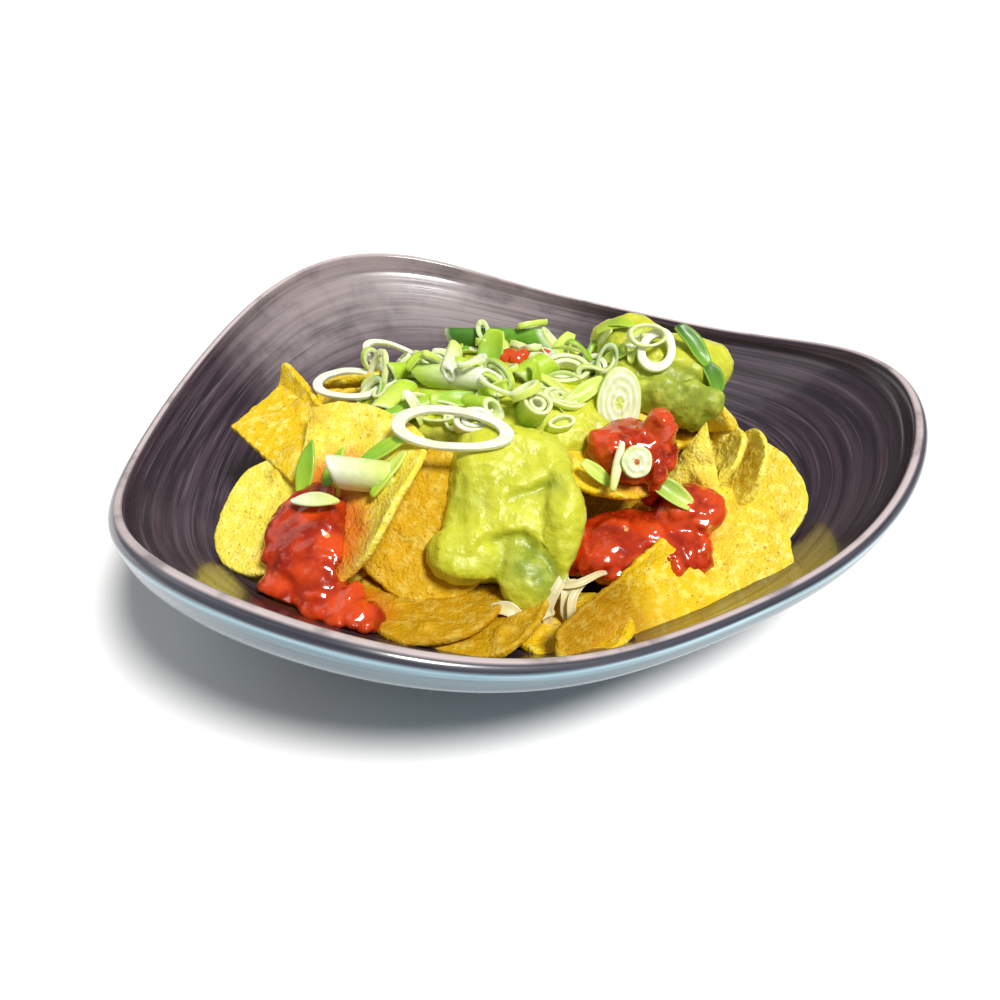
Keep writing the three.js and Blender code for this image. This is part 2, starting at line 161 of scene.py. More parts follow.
def bowl_mesh(around):
    """The profile turned round, its three corners pulled out and up, with the rings of throwing."""
    inner, outer = bowl_profile()
    line = inner + outer
    steps = [0.0]
    for one, other in zip(line, line[1:]):
        steps.append(steps[-1] + (other - one).length)
    crest = steps[len(inner) - 1]
    points = []
    throw = []
    for spot, step in zip(line, steps):
        share = step / crest if step <= crest else 1 + (step - crest) / (steps[-1] - crest)
        for i in range(around):
            angle = 2 * math.pi * i / around
            wave = CORNER_RISE * math.cos(3 * angle) + CORNER_PINCH * math.cos(6 * angle)
            pull = 1 + CORNER_REACH / RIM_RADIUS * math.cos(3 * angle) * min(1, spot.x / RIM_RADIUS)
            climb = min(1, max(0, (spot.y - FLOOR_TOP) / (RIM_HEIGHT - FLOOR_TOP)))
            drawn = (share * THROWING_TURNS, math.cos(angle) * 0.6, math.sin(angle) * 0.6)
            ridge = THROWING_RIDGE * noise.noise(drawn)
            radius = spot.x * pull
            points.append((
                AXIS_X + radius * math.cos(angle),
                radius * math.sin(angle),
                spot.y + wave * climb + (ridge if 1 < spot.y else 0),
            ))
            throw.append((math.cos(angle), math.sin(angle), share))
    keep = slice(around, (len(line) - 1) * around)
    return points[keep], tube_faces(len(line) - 2, around), throw[keep]


def under_food(points):
    """Where each point stands over the bowl: its reach, the inner face's height there, the rim's height."""
    x = points[:, 0] - AXIS_X
    y = points[:, 1]
    angle = np.arctan2(y, x)
    far = np.hypot(x, y)
    pull = CORNER_REACH / RIM_RADIUS ** 2 * np.cos(3 * angle)
    pull = np.where(np.abs(pull) < 1e-9, 1e-9, pull)
    reach = (np.sqrt(np.maximum(0, 1 + 4 * pull * far)) - 1) / (2 * pull)
    wave = CORNER_RISE * np.cos(3 * angle) + CORNER_PINCH * np.cos(6 * angle)
    along = np.clip((reach - FLOOR_RADIUS) / (RIM_RADIUS - FLOOR_RADIUS), 0, 1) ** WALL_CURVE
    return reach, FLOOR_TOP + (RIM_HEIGHT - FLOOR_TOP + wave) * along, RIM_HEIGHT + wave


def tuck(points):
    """Points that would pass through the bowl stop inside its wall."""
    reach, _, crest = under_food(points)
    limit = RIM_RADIUS - BOWL_WALL / 2
    over = (reach > limit) & (points[:, 2] < crest)
    shrink = np.where(over, limit / np.maximum(reach, 1), 1)
    tucked = points.copy()
    tucked[:, 0] = (points[:, 0] - AXIS_X) * shrink + AXIS_X
    tucked[:, 1] = points[:, 1] * shrink
    tucked[:, 2] = np.where(over, np.minimum(points[:, 2], crest - FOOD_SEAT), points[:, 2])
    _, face, _ = under_food(tucked)
    tucked[:, 2] = np.maximum(tucked[:, 2], face - FOOD_SEAT)
    return tucked


def feed(tree, socket, value):
    """Links a socket to another one, or sets it to a plain value."""
    if isinstance(value, bpy.types.NodeSocket):
        tree.links.new(value, socket)
    else:
        socket.default_value = value


def wire(tree, kind, feeds=None, **settings):
    """Adds a shader node with its settings and what goes into it."""
    node = tree.nodes.new(kind)
    for key, value in settings.items():
        setattr(node, key, value)
    for key, value in (feeds or {}).items():
        feed(tree, node.inputs[key], value)
    return node


def mix_colour(tree, share, low, high, blend="MIX"):
    """One colour over another. Each is a plain colour or a socket."""
    node = wire(tree, "ShaderNodeMix", {0: share}, data_type="RGBA", blend_type=blend)
    for key, colour in ((6, low), (7, high)):
        feed(tree, node.inputs[key], (*colour, 1) if isinstance(colour, tuple) else colour)
    return node.outputs[2]


def ease(tree, value, start, end, low=0.0, high=1.0):
    """A smooth step from low to high while the value goes from start to end."""
    feeds = {"Value": value, "From Min": start, "From Max": end, "To Min": low, "To Max": high}
    return wire(tree, "ShaderNodeMapRange", feeds, interpolation_type="SMOOTHSTEP").outputs["Result"]


def sums(tree, kind, one, other):
    return wire(tree, "ShaderNodeMath", {0: one, 1: other}, operation=kind).outputs[0]


def fine_noise(tree, vector, scale, detail, roughness=0.5):
    feeds = {"Vector": vector, "Scale": scale, "Detail": detail, "Roughness": roughness}
    return wire(tree, "ShaderNodeTexNoise", feeds).outputs[0]


def mark(tree, label, kind="Fac"):
    """Reads a value that is kept on a mesh's points."""
    return wire(tree, "ShaderNodeAttribute", attribute_name=label).outputs[kind]


def relief(tree, shader, height, strength, distance):
    """Fine relief of the surface, too low to be modelled."""
    bump = wire(tree, "ShaderNodeBump", {"Strength": strength, "Distance": distance, "Height": height})
    tree.links.new(bump.outputs[0], shader.inputs["Normal"])


def new_finish(name, constants):
    """A material, its tree and its shader, with what is the same all over set on the shader."""
    finish = bpy.data.materials.new(name)
    finish.use_nodes = True
    tree = finish.node_tree
    shader = tree.nodes["Principled BSDF"]
    for label, value in constants.items():
        shader.inputs[label].default_value = value
    return finish, tree, shader


def group_start(name, numbers, results):
    """Begins a shader group: a Vector and numbers go in, values come out."""
    tree = bpy.data.node_groups.new(name, "ShaderNodeTree")
    tree.interface.new_socket("Vector", in_out="INPUT", socket_type="NodeSocketVector")
    for label, value in numbers.items():
        socket = tree.interface.new_socket(label, in_out="INPUT", socket_type="NodeSocketFloat")
        socket.default_value = value
    for label in results:
        tree.interface.new_socket(label, in_out="OUTPUT", socket_type="NodeSocketFloat")
    return tree, tree.nodes.new("NodeGroupInput"), tree.nodes.new("NodeGroupOutput")


def use_group(tree, group, feeds):
    node = tree.nodes.new("ShaderNodeGroup")
    node.node_tree = group
    for key, value in feeds.items():
        feed(tree, node.inputs[key], value)
    return node.outputs


# Streaks left by a loaded brush, or by fibres: noise drawn out along two of three directions.
streaks, given, out = group_start("streaks", {"Length": 3.0, "Fineness": 60.0}, ["Streak", "Hairline"])
stretch = wire(streaks, "ShaderNodeCombineXYZ", {
    "X": given.outputs["Length"],
    "Y": given.outputs["Length"],
    "Z": given.outputs["Fineness"],
})
stretched = {0: given.outputs["Vector"], 1: stretch.outputs[0]}
spread = wire(streaks, "ShaderNodeVectorMath", stretched, operation="MULTIPLY").outputs[0]
broad = fine_noise(streaks, spread, 1.0, 5.0, 0.6)
tighter = {0: spread, 1: (2.0, 2.0, 3.4)}
tight = wire(streaks, "ShaderNodeVectorMath", tighter, operation="MULTIPLY").outputs[0]
hair = fine_noise(streaks, tight, 1.0, 3.0, 0.55)
streaks.links.new(broad, out.inputs["Streak"])
streaks.links.new(hair, out.inputs["Hairline"])

glaze, tree, shader = new_finish("brushed glaze", {
    "Coat Weight": 0.35, "Coat Roughness": 0.06, "IOR": 1.52,
})
throw = mark(tree, "throw", "Vector")
share = wire(tree, "ShaderNodeSeparateXYZ", {"Vector": throw}).outputs["Z"]
brush = use_group(tree, streaks, {"Vector": throw, "Length": 1.2, "Fineness": 56.0})
sweep = use_group(tree, streaks, {"Vector": throw, "Length": 7.0, "Fineness": 9.0})
dark = mix_colour(tree, ease(tree, brush["Streak"], 0.34, 0.68), (0.015, 0.008, 0.014), (0.074, 0.046, 0.070))
dark = mix_colour(tree, ease(tree, brush["Hairline"], 0.54, 0.70, 0.0, 0.55), dark, (0.20, 0.15, 0.18))
# Painted reflection: high on the back-left lobe the inner glaze is coloured paler, in streaks, as the
# window's sheen on it.
lobe_way = {0: throw, 1: (-0.36, 0.93, 0.0)}
toward_lobe = wire(tree, "ShaderNodeVectorMath", lobe_way, operation="DOT_PRODUCT").outputs["Value"]
painted_sheen = sums(tree, "MULTIPLY", ease(tree, toward_lobe, 0.62, 0.95), ease(tree, share, 0.62, 0.86))
painted_sheen = sums(tree, "MULTIPLY", painted_sheen, ease(tree, sweep["Streak"], 0.30, 0.56, 0.55, 1.0))
painted_sheen = sums(tree, "MULTIPLY", painted_sheen, ease(tree, brush["Streak"], 0.30, 0.62, 0.5, 1.0))
pale = mix_colour(tree, sums(tree, "MULTIPLY", painted_sheen, 0.85), dark, (0.40, 0.34, 0.35))
blue_and_shade = mix_colour(tree, ease(tree, brush["Streak"], 0.35, 0.66), (0.16, 0.29, 0.38), (0.52, 0.76, 0.86))
# Painted shade: just below the lip the pale blue is darkened to navy, as the underside of the bowl in shade.
blue_and_shade = mix_colour(tree, ease(tree, share, 1.024, 1.042, 0.0, 0.8), blue_and_shade, (0.055, 0.095, 0.125))
blue_and_shade = mix_colour(tree, ease(tree, share, 1.72, 1.80), blue_and_shade, (0.36, 0.30, 0.27))
band = mix_colour(tree, ease(tree, brush["Streak"], 0.34, 0.66), (0.022, 0.024, 0.036), (0.10, 0.10, 0.13))
body = mix_colour(tree, ease(tree, share, 1.017, 1.024), band, blue_and_shade)
body = mix_colour(tree, ease(tree, share, 0.996, 1.004), pale, body)
# Worn glaze and painted highlight: a pale pinkish line along the crest, where the clay shows through and
# where the lip is painted as catching the light.
edge = sums(tree, "SUBTRACT", share, 0.997)
edge = wire(tree, "ShaderNodeMath", {0: edge}, operation="ABSOLUTE").outputs[0]
edge = ease(tree, edge, 0.003, 0.010, 1.0, 0.0)
edge = sums(tree, "MULTIPLY", edge, ease(tree, sweep["Streak"], 0.30, 0.52, 0.45, 1.0))
worn_and_highlit_crest = mix_colour(tree, edge, body, (0.64, 0.54, 0.54))
# A film of salsa juice on the glaze by the left salsa, coloured red-brown; the colour is also a painted
# reflection of the salsa.
filmed_and_reflected = mix_colour(tree, ease(tree, mark(tree, "sauce_and_reflection"), 0.30, 0.62, 0.0, 0.75), worn_and_highlit_crest, (0.13, 0.028, 0.007))
tree.links.new(filmed_and_reflected, shader.inputs["Base Color"])
tree.links.new(ease(tree, brush["Streak"], 0.3, 0.7, 0.30, 0.17), shader.inputs["Roughness"])
relief(tree, shader, brush["Streak"], 0.16, 0.0006)

points, faces, throw_marks = bowl_mesh(288)
# Where the juice film and the salsa's painted reflection lie on the bowl, with ragged edges.
film_and_reflection = np.linalg.norm((np.array(points) - SAUCE_FILM_AND_REFLECTION["at"]) / SAUCE_FILM_AND_REFLECTION["size"], axis=1)
film_and_reflection = film_and_reflection + [0.45 * noise.noise((x / 6, y / 6, z / 6)) for x, y, z in points]
glazed_bowl = build_piece("glazed_bowl", points, faces, glaze, {
    "throw": throw_marks, "sauce_and_reflection": np.clip(1.6 - 1.6 * film_and_reflection, 0, 1),
})
dress(glazed_bowl, "bowl")

# Tortilla chips
# Round chips stamped from maize dough and fried, so each one has bent, blistered and browned in its
# own way. They lie where they fell, propped on each other and on the bowl. How pale or brown each is
# coloured is partly its frying and partly painted light and shade.
CHIP_RADIUS = 27
CHIP_THICKNESS = 2.2
BLISTERS = 42
BLISTER_WIDTHS = (1.3, 4.2)
EDGE_ROUND = 0.05
STAIN_EDGE = 7
SHADE_EDGE = 14


def settle(points, at, tilt=0, toward=270, spin=0):
    """Turns a piece by spin, leans its top toward an azimuth, then sets it down."""
    turn = Matrix.Rotation(math.radians(toward), 3, "Z")
    turn = turn @ Matrix.Rotation(math.radians(tilt), 3, "Y")
    turn = turn @ Matrix.Rotation(math.radians(spin - toward), 3, "Z")
    return np.asarray(points) @ np.array(turn).T + np.array(at)


def placed(at, pose, **shape):
    """An entry for a piece: where it lies, its lean, the way it leans and its spin, then its shape."""
    tilt, toward, spin = pose
    return {"at": at, "tilt": tilt, "toward": toward, "spin": spin, **shape}


def lay(points, piece):
    """Sets a piece down as its own entry says."""
    return settle(points, **{key: piece[key] for key in ("at", "tilt", "toward", "spin") if key in piece})


def grain(points, size, seed=0):
    """Smooth noise at each point, with lumps about `size` millimetres across."""
    shift = seed * 13.7
    return np.array([noise.noise((x / size + shift, y / size - shift, z / size)) for x, y, z in points])


def bend(across, reach, curl, crease, steps=20):
    """Rolls a flat sheet up along its middle line, most at the edge where crease is large."""
    distance = np.abs(across)
    along = np.zeros_like(distance)
    rise = np.zeros_like(distance)
    for i in range(steps):
        angle = curl * ((i + 0.5) / steps * distance / reach) ** crease
        along += np.cos(angle) * distance / steps
        rise += np.sin(angle) * distance / steps
    return along, rise, curl * (distance / reach) ** crease


def spotted(points, spots, soft, seed):
    """How deep each point lies in the spots, from 0 to 1, with soft and ragged edges."""
    cover = np.zeros(len(points))
    for spot, size in spots:
        far = np.linalg.norm(points - np.array(spot), axis=1) + 2.2 * grain(points, 4, seed)
        cover = np.maximum(cover, np.clip((size - far) / soft, 0, 1))
    return cover


def disc_faces(rings, spokes, under_rings):
    """Faces of a disc: its top, its underside, the edge between them and both middles."""
    top = rings * spokes
    edge = top - spokes
    low = top + (under_rings - 1) * spokes
    faces = bands(rings, spokes)
    faces += [face[::-1] for face in bands(under_rings, spokes, top)]
    for i in range(spokes):
        j = (i + 1) % spokes
        faces.append((edge + i, edge + j, low + j, low + i))
    return faces + [list(range(spokes))[::-1], list(range(top, top + spokes))]


def chip_mesh(chip, rings=26, spokes=108):
    """One chip: a ragged, blistered disc, cupped or curled about a line and laid in the bowl."""
    seed = chip["seed"]
    luck = random.Random(seed)
    reach = CHIP_RADIUS * chip.get("size", 1)
    curl = chip.get("curl", 0)
    back = chip.get("back", curl)
    shares = np.r_[np.linspace(0.03, 0.93, rings - 4), 0.955, 0.975, 0.99, 1.0]
    thins = np.r_[np.ones(rings - 4), 0.97, 0.9, 0.72, 0.0]
    turns = np.arange(spokes) * 2 * math.pi / spokes
    layers = []
    for side in (1, -1):
        count = rings if side > 0 else rings - 1
        share = np.repeat(shares[:count], spokes)
        turn = np.tile(turns, count)
        layers.append(np.c_[share, turn, np.repeat(thins[:count], spokes) * side, np.full(len(share), side)])
    share, turn, thick, side = np.vstack(layers).T
    ragged = 1 + 0.035 * np.cos(3 * turn + seed) + 0.02 * np.cos(5 * turn + 2 * seed)
    for facing, depth in chip.get("broken", []):
        lean = np.cos(turn - math.radians(facing))
        ragged = np.where(lean > 0, np.minimum(ragged, depth / np.maximum(lean, 1e-3)), ragged)
    rim = np.c_[np.cos(turn) * reach, np.sin(turn) * reach, np.full(len(turn), seed * 3.1)]
    chew = 0.022 * grain(rim, 5, seed) + 0.018 * grain(rim, 1.9, seed + 40)
    ragged = ragged + chew * share ** 6
    flat_x = reach * share * np.cos(turn) * ragged
    flat_y = reach * share * np.sin(turn) * ragged
    swell = np.zeros(len(share))
    for _ in range(BLISTERS):
        far = reach * 0.94 * math.sqrt(luck.random())
        way = luck.random() * 2 * math.pi
        wide = luck.uniform(*BLISTER_WIDTHS)
        high = luck.uniform(0.35, 0.8) * wide / 3
        face = luck.choice((1, -1))
        away = np.hypot(flat_x - far * math.cos(way), flat_y - far * math.sin(way)) / wide
        swell = np.where(side == face, swell + high * face * np.clip(1 - away ** 2, 0, 1) ** 1.5, swell)
    flat = np.c_[flat_x, flat_y, seed * 9 + side * 40]
    skin = 0.36 * grain(flat, 5.0, seed) + 0.30 * grain(flat, 2.3, seed + 7)
    skin = skin + 0.16 * grain(flat, 1.2, seed + 9)
    drift = 0.55 * grain(np.c_[flat_x, flat_y, np.full(len(share), seed * 5.0)], 15, seed + 3)
    fade = np.clip((1.0 - share) / EDGE_ROUND, 0, 1)
    offset = thick * CHIP_THICKNESS / 2 + (swell + skin * side) * fade + drift
    offset = offset + chip.get("cup", 0) * share ** 2 + 0.9 * share ** 2 * np.sin(2 * turn + 3 * seed)
    across = flat_y - chip.get("line", 0)
    hand = np.where(across < 0, -1, 1)
    bow = np.radians(np.where(hand < 0, back, curl)) * (1 - chip.get("twist", 0) * flat_x / reach)
    along, rise, angle = bend(across, reach, bow, chip.get("crease", 1))
    shaped = np.c_[flat_x, hand * (along - np.sin(angle) * offset), rise + np.cos(angle) * offset]
    points = tuck(lay(shaped, chip))
    toast = np.clip(0.45 + np.abs(swell) * 0.55 + 0.35 * grain(flat, 11, seed + 5), 0, 1)
    toast = np.clip(toast - 0.4 * np.clip((share - 1 + EDGE_ROUND) / EDGE_ROUND, 0, 1), 0, 1)
    stain = spotted(points, chip.get("stains", []), STAIN_EDGE, seed + 2)
    # Painted shade: spots of a chip are coloured browner where it lies in shade, as at the lower left of the
    # front fold.
    browned = spotted(points, chip.get("browned", []), SHADE_EDGE, seed + 3)
    # The tone is partly the chip's frying and partly painted light and shade: chips in shade are given low,
    # browner tones, lit chips high, paler ones.
    tone = np.clip(chip.get("tone", 0.5) - 0.45 * browned, 0, 1)
    return points, disc_faces(rings, spokes, rings - 1), {"toast": toast, "stain": stain, "tone": tone}


# Soft two-scale mottling, for dough, mash and sauce.
mottle, given, out = group_start("mottle", {"Coarse": 120.0, "Fine": 900.0}, ["Patches", "Grain"])
wide = fine_noise(mottle, given.outputs["Vector"], given.outputs["Coarse"], 3.0)
close = fine_noise(mottle, given.outputs["Vector"], given.outputs["Fine"], 2.0)
mottle.links.new(wide, out.inputs["Patches"])
mottle.links.new(close, out.inputs["Grain"])

# Scattered specks: a few of the cells of a random pattern are filled in.
specks, given, out = group_start("specks", {"Scale": 700.0, "Rarity": 0.8, "Size": 0.32}, ["Speck"])
cell_feeds = {"Vector": given.outputs["Vector"], "Scale": given.outputs["Scale"]}
cells = wire(specks, "ShaderNodeTexVoronoi", cell_feeds)
chosen = wire(specks, "ShaderNodeSeparateColor", {"Color": cells.outputs["Color"]}).outputs[0]
chosen = sums(specks, "GREATER_THAN", chosen, given.outputs["Rarity"])
dot = sums(specks, "LESS_THAN", cells.outputs["Distance"], given.outputs["Size"])
specks.links.new(sums(specks, "MULTIPLY", chosen, dot), out.inputs["Speck"])

tortilla, tree, shader = new_finish("fried maize", {
    "Specular IOR Level": 0.25, "Subsurface Weight": 0.12, "Subsurface Radius": (0.004, 0.0022, 0.0006),
    "Subsurface Scale": 1.0,
})
spot = wire(tree, "ShaderNodeTexCoord").outputs["Object"]
toast = mark(tree, "toast")
stain = mark(tree, "stain")
tone = mark(tree, "tone")
cloud = use_group(tree, mottle, {"Vector": spot, "Coarse": 380.0, "Fine": 1150.0})
crumb = use_group(tree, specks, {"Vector": spot, "Scale": 760.0, "Rarity": 0.86, "Size": 0.24})
burn = use_group(tree, specks, {"Vector": spot, "Scale": 430.0, "Rarity": 0.93, "Size": 0.26})
# Painted light and shade by tone: low tones give the browner colour of chips lying in shade, high ones the
# pale yellow of lit chips.
yellow = mix_colour(tree, ease(tree, tone, 0.0, 0.5), (0.47, 0.235, 0.0), (0.88, 0.58, 0.006))
yellow = mix_colour(tree, ease(tree, tone, 0.5, 1.0), yellow, (0.95, 0.79, 0.09))
patchy = ease(tree, cloud["Patches"], 0.47, 0.64, 0.0, 0.75)
fresh_share = sums(tree, "MULTIPLY", patchy, ease(tree, tone, 0.0, 0.9, 0.2, 1.0))
yellow = mix_colour(tree, fresh_share, yellow, (1.0, 0.90, 0.22))
golden = mix_colour(tree, ease(tree, toast, 0.45, 1.0, 0.0, 0.5), yellow, (0.76, 0.44, 0.016))
golden = mix_colour(tree, ease(tree, cloud["Grain"], 0.55, 0.74, 0.0, 0.34), golden, (0.62, 0.34, 0.012))
golden = mix_colour(tree, sums(tree, "MULTIPLY", crumb["Speck"], 0.6), golden, (0.36, 0.15, 0.010))
golden = mix_colour(tree, sums(tree, "MULTIPLY", burn["Speck"], 0.5), golden, (0.45, 0.20, 0.012))
stained = mix_colour(tree, sums(tree, "MULTIPLY", stain, 0.85), golden, (0.72, 0.13, 0.012))
tree.links.new(stained, shader.inputs["Base Color"])
tree.links.new(ease(tree, stain, 0.1, 0.8, 0.62, 0.28), shader.inputs["Roughness"])
rough = sums(tree, "ADD", cloud["Grain"], sums(tree, "MULTIPLY", cloud["Patches"], 0.8))
relief(tree, shader, rough, 0.75, 0.0009)

salsa_run = [([-60, -64, 38], 16), ([-53, -80, 28], 12)]
boat_spots = [([-60, -64, 38], 20), ([-54, -50, 44], 13)]
salsa_pool_spots = [([26, -55, 29], 22), ([41, -46, 36], 15), ([27, -38, 48], 14)]
# Painted light and shade in the tones: the front chips in shade under the heap (middle, lower, front curl,
# front edge) have low, browner tones; chips lit from above or turned from the light (left round, right stack,
# right edge) have high, pale ones.
chips = {
    "chip_left_round": placed(
        [-69, -53, 37], (30, 225, 0), cup=1.5, size=0.69, tone=0.95, stains=salsa_run,
    ),
    "chip_left_fold": placed(
        [-66, -16, 50], (14, 210, 310), line=8, curl=80, back=-4, crease=0.15,
        broken=[[199, 0.6], [268, 0.48], [80, 0.44]], tone=0.55,
    ),
    "chip_salsa_left": placed(
        [-56, -50.5, 44], (30, 256, 84), size=1.02, curl=3, back=46, twist=1.2, broken=[[90, 0.35]],
        tone=0.85, stains=boat_spots,
    ),
    "chip_middle": placed([-30, -56, 39], (42, 268, 0), cup=-2, size=0.82, tone=0.24),
    "chip_lower": placed(
        [-28, -71, 23.5], (8, 92, 0), cup=1, size=0.72, tone=0.12, stains=[([-50, -79, 25], 14)],
    ),
    "chip_front_curl": placed([-17, -75, 22.5], (5, 85, 74), curl=0, back=32, size=0.72, tone=0.16),
    "chip_front_edge": placed([8, -79, 21], (4, 90, 55), curl=5, back=45, size=0.6, tone=0.4),
    # Painted shade on the front fold: its lower left is coloured browner where it lies in shade.
    "chip_front_fold": placed(
        [25, -79, 23], (34, 300, 56), size=1.08, curl=40, back=-8, crease=0.8, cup=2.2,
        broken=[[80, 0.5], [5, 0.8]], tone=0.5, browned=[([12, -84, 24], 25)],
    ),
    "chip_right_round": placed(
        [47, -51, 26], (14, 265, 0), cup=2, size=0.88, tone=0.75, stains=salsa_pool_spots,
    ),
    "chip_right_back": placed([61, -28, 28], (24, 235, 0), cup=2, size=0.76, tone=0.8),
    "chip_right_stack": placed([61, -24, 35], (56, 182, 0), size=0.5, cup=1, tone=1.0),
    "chip_right_edge": placed([54, -24, 38], (56, 182, 0), size=0.44, cup=1, tone=1.0),
    "chip_upright": placed(
        [44, -32, 42], (60, 235, 55), size=0.6, cup=-2, broken=[[-60, 0.4], [70, 0.28]], tone=0.95,
    ),
    "chip_guacamole": placed(
        [40, -8, 43], (10, 80, 172), curl=86, back=40, crease=0.8, size=0.88, tone=0.7,
    ),
    "chip_salsa_right": placed(
        [20, -32, 46], (20, 272, 0), size=0.66, cup=2, tone=0.6, stains=[([27, -38, 48], 14)],
    ),
    "chip_back_left": placed([-46, 8, 48], (24, 110, 0), size=0.8, cup=2, tone=0.6),
}
for i, (node, chip) in enumerate(chips.items()):
    points, faces, marks = chip_mesh({**chip, "seed": i + 1})
    fried = build_piece("fried_" + node, points, faces, tortilla, marks)
    dress(fried, node)

# Bed of chips
# The loose chips that the rest lies on, shingled over each other round the far side of the heap.
# They are the same fried maize; the middle of the bed is packed crumbs and broken chips, coloured
# dark golden as painted shade where it shows in the gaps between the loose chips.
core = {"at": [-8, 8, 19], "size": [58, 50, 23]}
BED_MESH = {"rings": 20, "spokes": 72}


def ball(fine):
    """A round mesh of unit radius, as points and faces."""
    made = bpy.data.meshes.new("ball")
    work = bmesh.new()
    bmesh.ops.create_icosphere(work, subdivisions=fine, radius=1)
    work.to_mesh(made)
    work.free()
    points = np.array([vertex.co for vertex in made.vertices])
    faces = [list(face.vertices) for face in made.polygons]
    bpy.data.meshes.remove(made)
    return points, faces


def join_parts(parts):
    """Joins lists of (points, faces, marks) into one."""
    points = []
    faces = []
    marks = {}
    start = 0
    for some_points, some_faces, some_marks in parts:
        points.append(np.asarray(some_points, float))
        faces.extend([[start + corner for corner in face] for face in some_faces])
        for label, values in some_marks.items():
            marks.setdefault(label, []).append(np.asarray(values, float))
        start += len(some_points)
    return np.vstack(points), faces, {label: np.concatenate(values) for label, values in marks.items()}


round_points, round_faces = ball(5)
core_points = round_points * np.array(core["size"]) * (1 + 0.03 * grain(round_points, 0.4, 2))[:, None]
core_points = core_points + np.array(core["at"])
crumbs = 0.9 * grain(core_points, 6, 4) + 0.5 * grain(core_points, 2.4, 5)
core_points = tuck(core_points + round_points * crumbs[:, None])
flat_value = np.zeros(len(core_points))
# Painted shade: the packed middle is given a low tone and much toast, dark golden as the gaps between the
# chips.
bed_parts = [(core_points, round_faces, {
    "toast": flat_value + 0.8, "stain": flat_value, "tone": flat_value + 0.15,
})]
back_rows = [
    {"climb": 24, "from": -6, "step": 38, "count": 6, "lean": 18, "size": 0.92},
    {"climb": 46, "from": 40, "step": 42, "count": 3, "lean": 6, "size": 0.92},
    {"climb": 12, "from": 14, "step": 30, "count": 6, "lean": 26, "size": 0.8},
    {"climb": 36, "from": 24, "step": 34, "count": 5, "lean": 12, "size": 0.85},
]
for row in back_rows:
    for i in range(row["count"]):
        seed = row["climb"] + i
        around = row["from"] + row["step"] * i + 6 * math.sin(2 * seed)
        out_share = math.cos(math.radians(row["climb"]))
        up_share = math.sin(math.radians(row["climb"]))
        at = [
            core["at"][0] + core["size"][0] * out_share * math.cos(math.radians(around)),
            core["at"][1] + core["size"][1] * out_share * math.sin(math.radians(around)),
            core["at"][2] + core["size"][2] * up_share,
        ]
        slope = math.degrees(math.atan2(out_share / core["size"][0], up_share / core["size"][2]))
        bed_parts.append(chip_mesh({
            "at": at, "tilt": slope - row["lean"] + 7 * math.sin(5 * seed),
            "toward": around + 12 * math.cos(3 * seed), "cup": 2, "size": row["size"],
            "seed": seed, "tone": 0.55 + 0.35 * math.sin(7 * seed),
        }, **BED_MESH))
bed_parts.append(chip_mesh({
    "at": [38, 2, 38], "tilt": 12, "toward": 50, "cup": 2, "size": 0.95, "seed": 30, "tone": 0.5,
}, **BED_MESH))
left_props = [
    {"at": [-62, -6, 31], "tilt": 38, "toward": 182, "size": 0.8},
    {"at": [-58, -26, 32], "tilt": 36, "toward": 195, "size": 0.76},
    {"at": [-55, -46, 26], "tilt": 28, "toward": 215, "size": 0.72},
    {"at": [-50, -58, 22], "tilt": 22, "toward": 230, "size": 0.66},
]
for i, prop in enumerate(left_props):
    bed_parts.append(chip_mesh({**prop, "cup": 1.5, "seed": 40 + i, "tone": 0.4}, **BED_MESH))
points, faces, marks = join_parts(bed_parts)
chip_bed = build_piece("fried_chip_bed", points, faces, tortilla, marks)
dress(chip_bed, "chip_bed")

# Guacamole
# Ripe avocado mashed with a fork and spooned on while soft: it slides down the front of the heap in
# one tongue, folds over at its foot, and keeps lumps of paler and greener flesh. The hollow under its
# foot and the front of the right-hand heap are painted darker green as shade.
LAP_EDGE = 0.9
MASH_VOXEL = 0.75
FOOT_HOLLOW = {"at": np.array((-5, -71, 36)), "size": np.array((6, 4.5, 5))}


def soft_copy(node, voxel, smoothing, extra=()):
    """The mesh of a CAD node, and lumps set on it, fused and smoothed into one soft skin."""
    mesh = bpy.data.meshes.new("soft " + node)
    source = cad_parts[node].data
    points = np.array([vertex.co for vertex in source.vertices]) * 1000
    faces = [list(face.vertices) for face in source.polygons]
    parts = [(points, faces, {}), *((lump[0], lump[1], {}) for lump in extra)]
    points, faces, _ = join_parts(parts)
    mesh.from_pydata((points * 0.001).tolist(), [], faces)
    work = bmesh.new()
    work.from_mesh(mesh)
    bmesh.ops.remove_doubles(work, verts=work.verts, dist=0.00001)
    work.to_mesh(mesh)
    work.free()
    shaping = bpy.data.objects.new("shaping", mesh)
    bpy.context.collection.objects.link(shaping)
    fuse = shaping.modifiers.new("fuse", "REMESH")
    fuse.mode = "VOXEL"
    fuse.voxel_size = voxel * 0.001
    melt = shaping.modifiers.new("melt", "SMOOTH")
    melt.factor = 0.5
    melt.iterations = smoothing
    bpy.context.view_layer.update()
    ready = shaping.evaluated_get(bpy.context.evaluated_depsgraph_get())
    made = bpy.data.meshes.new_from_object(ready)
    points = np.array([vertex.co for vertex in made.vertices]) * 1000
    normals = np.array([vertex.normal for vertex in made.vertices])
    faces = [list(face.vertices) for face in made.polygons]
    bpy.data.objects.remove(shaping)
    bpy.data.meshes.remove(mesh)
    bpy.data.meshes.remove(made)
    return points, normals, faces


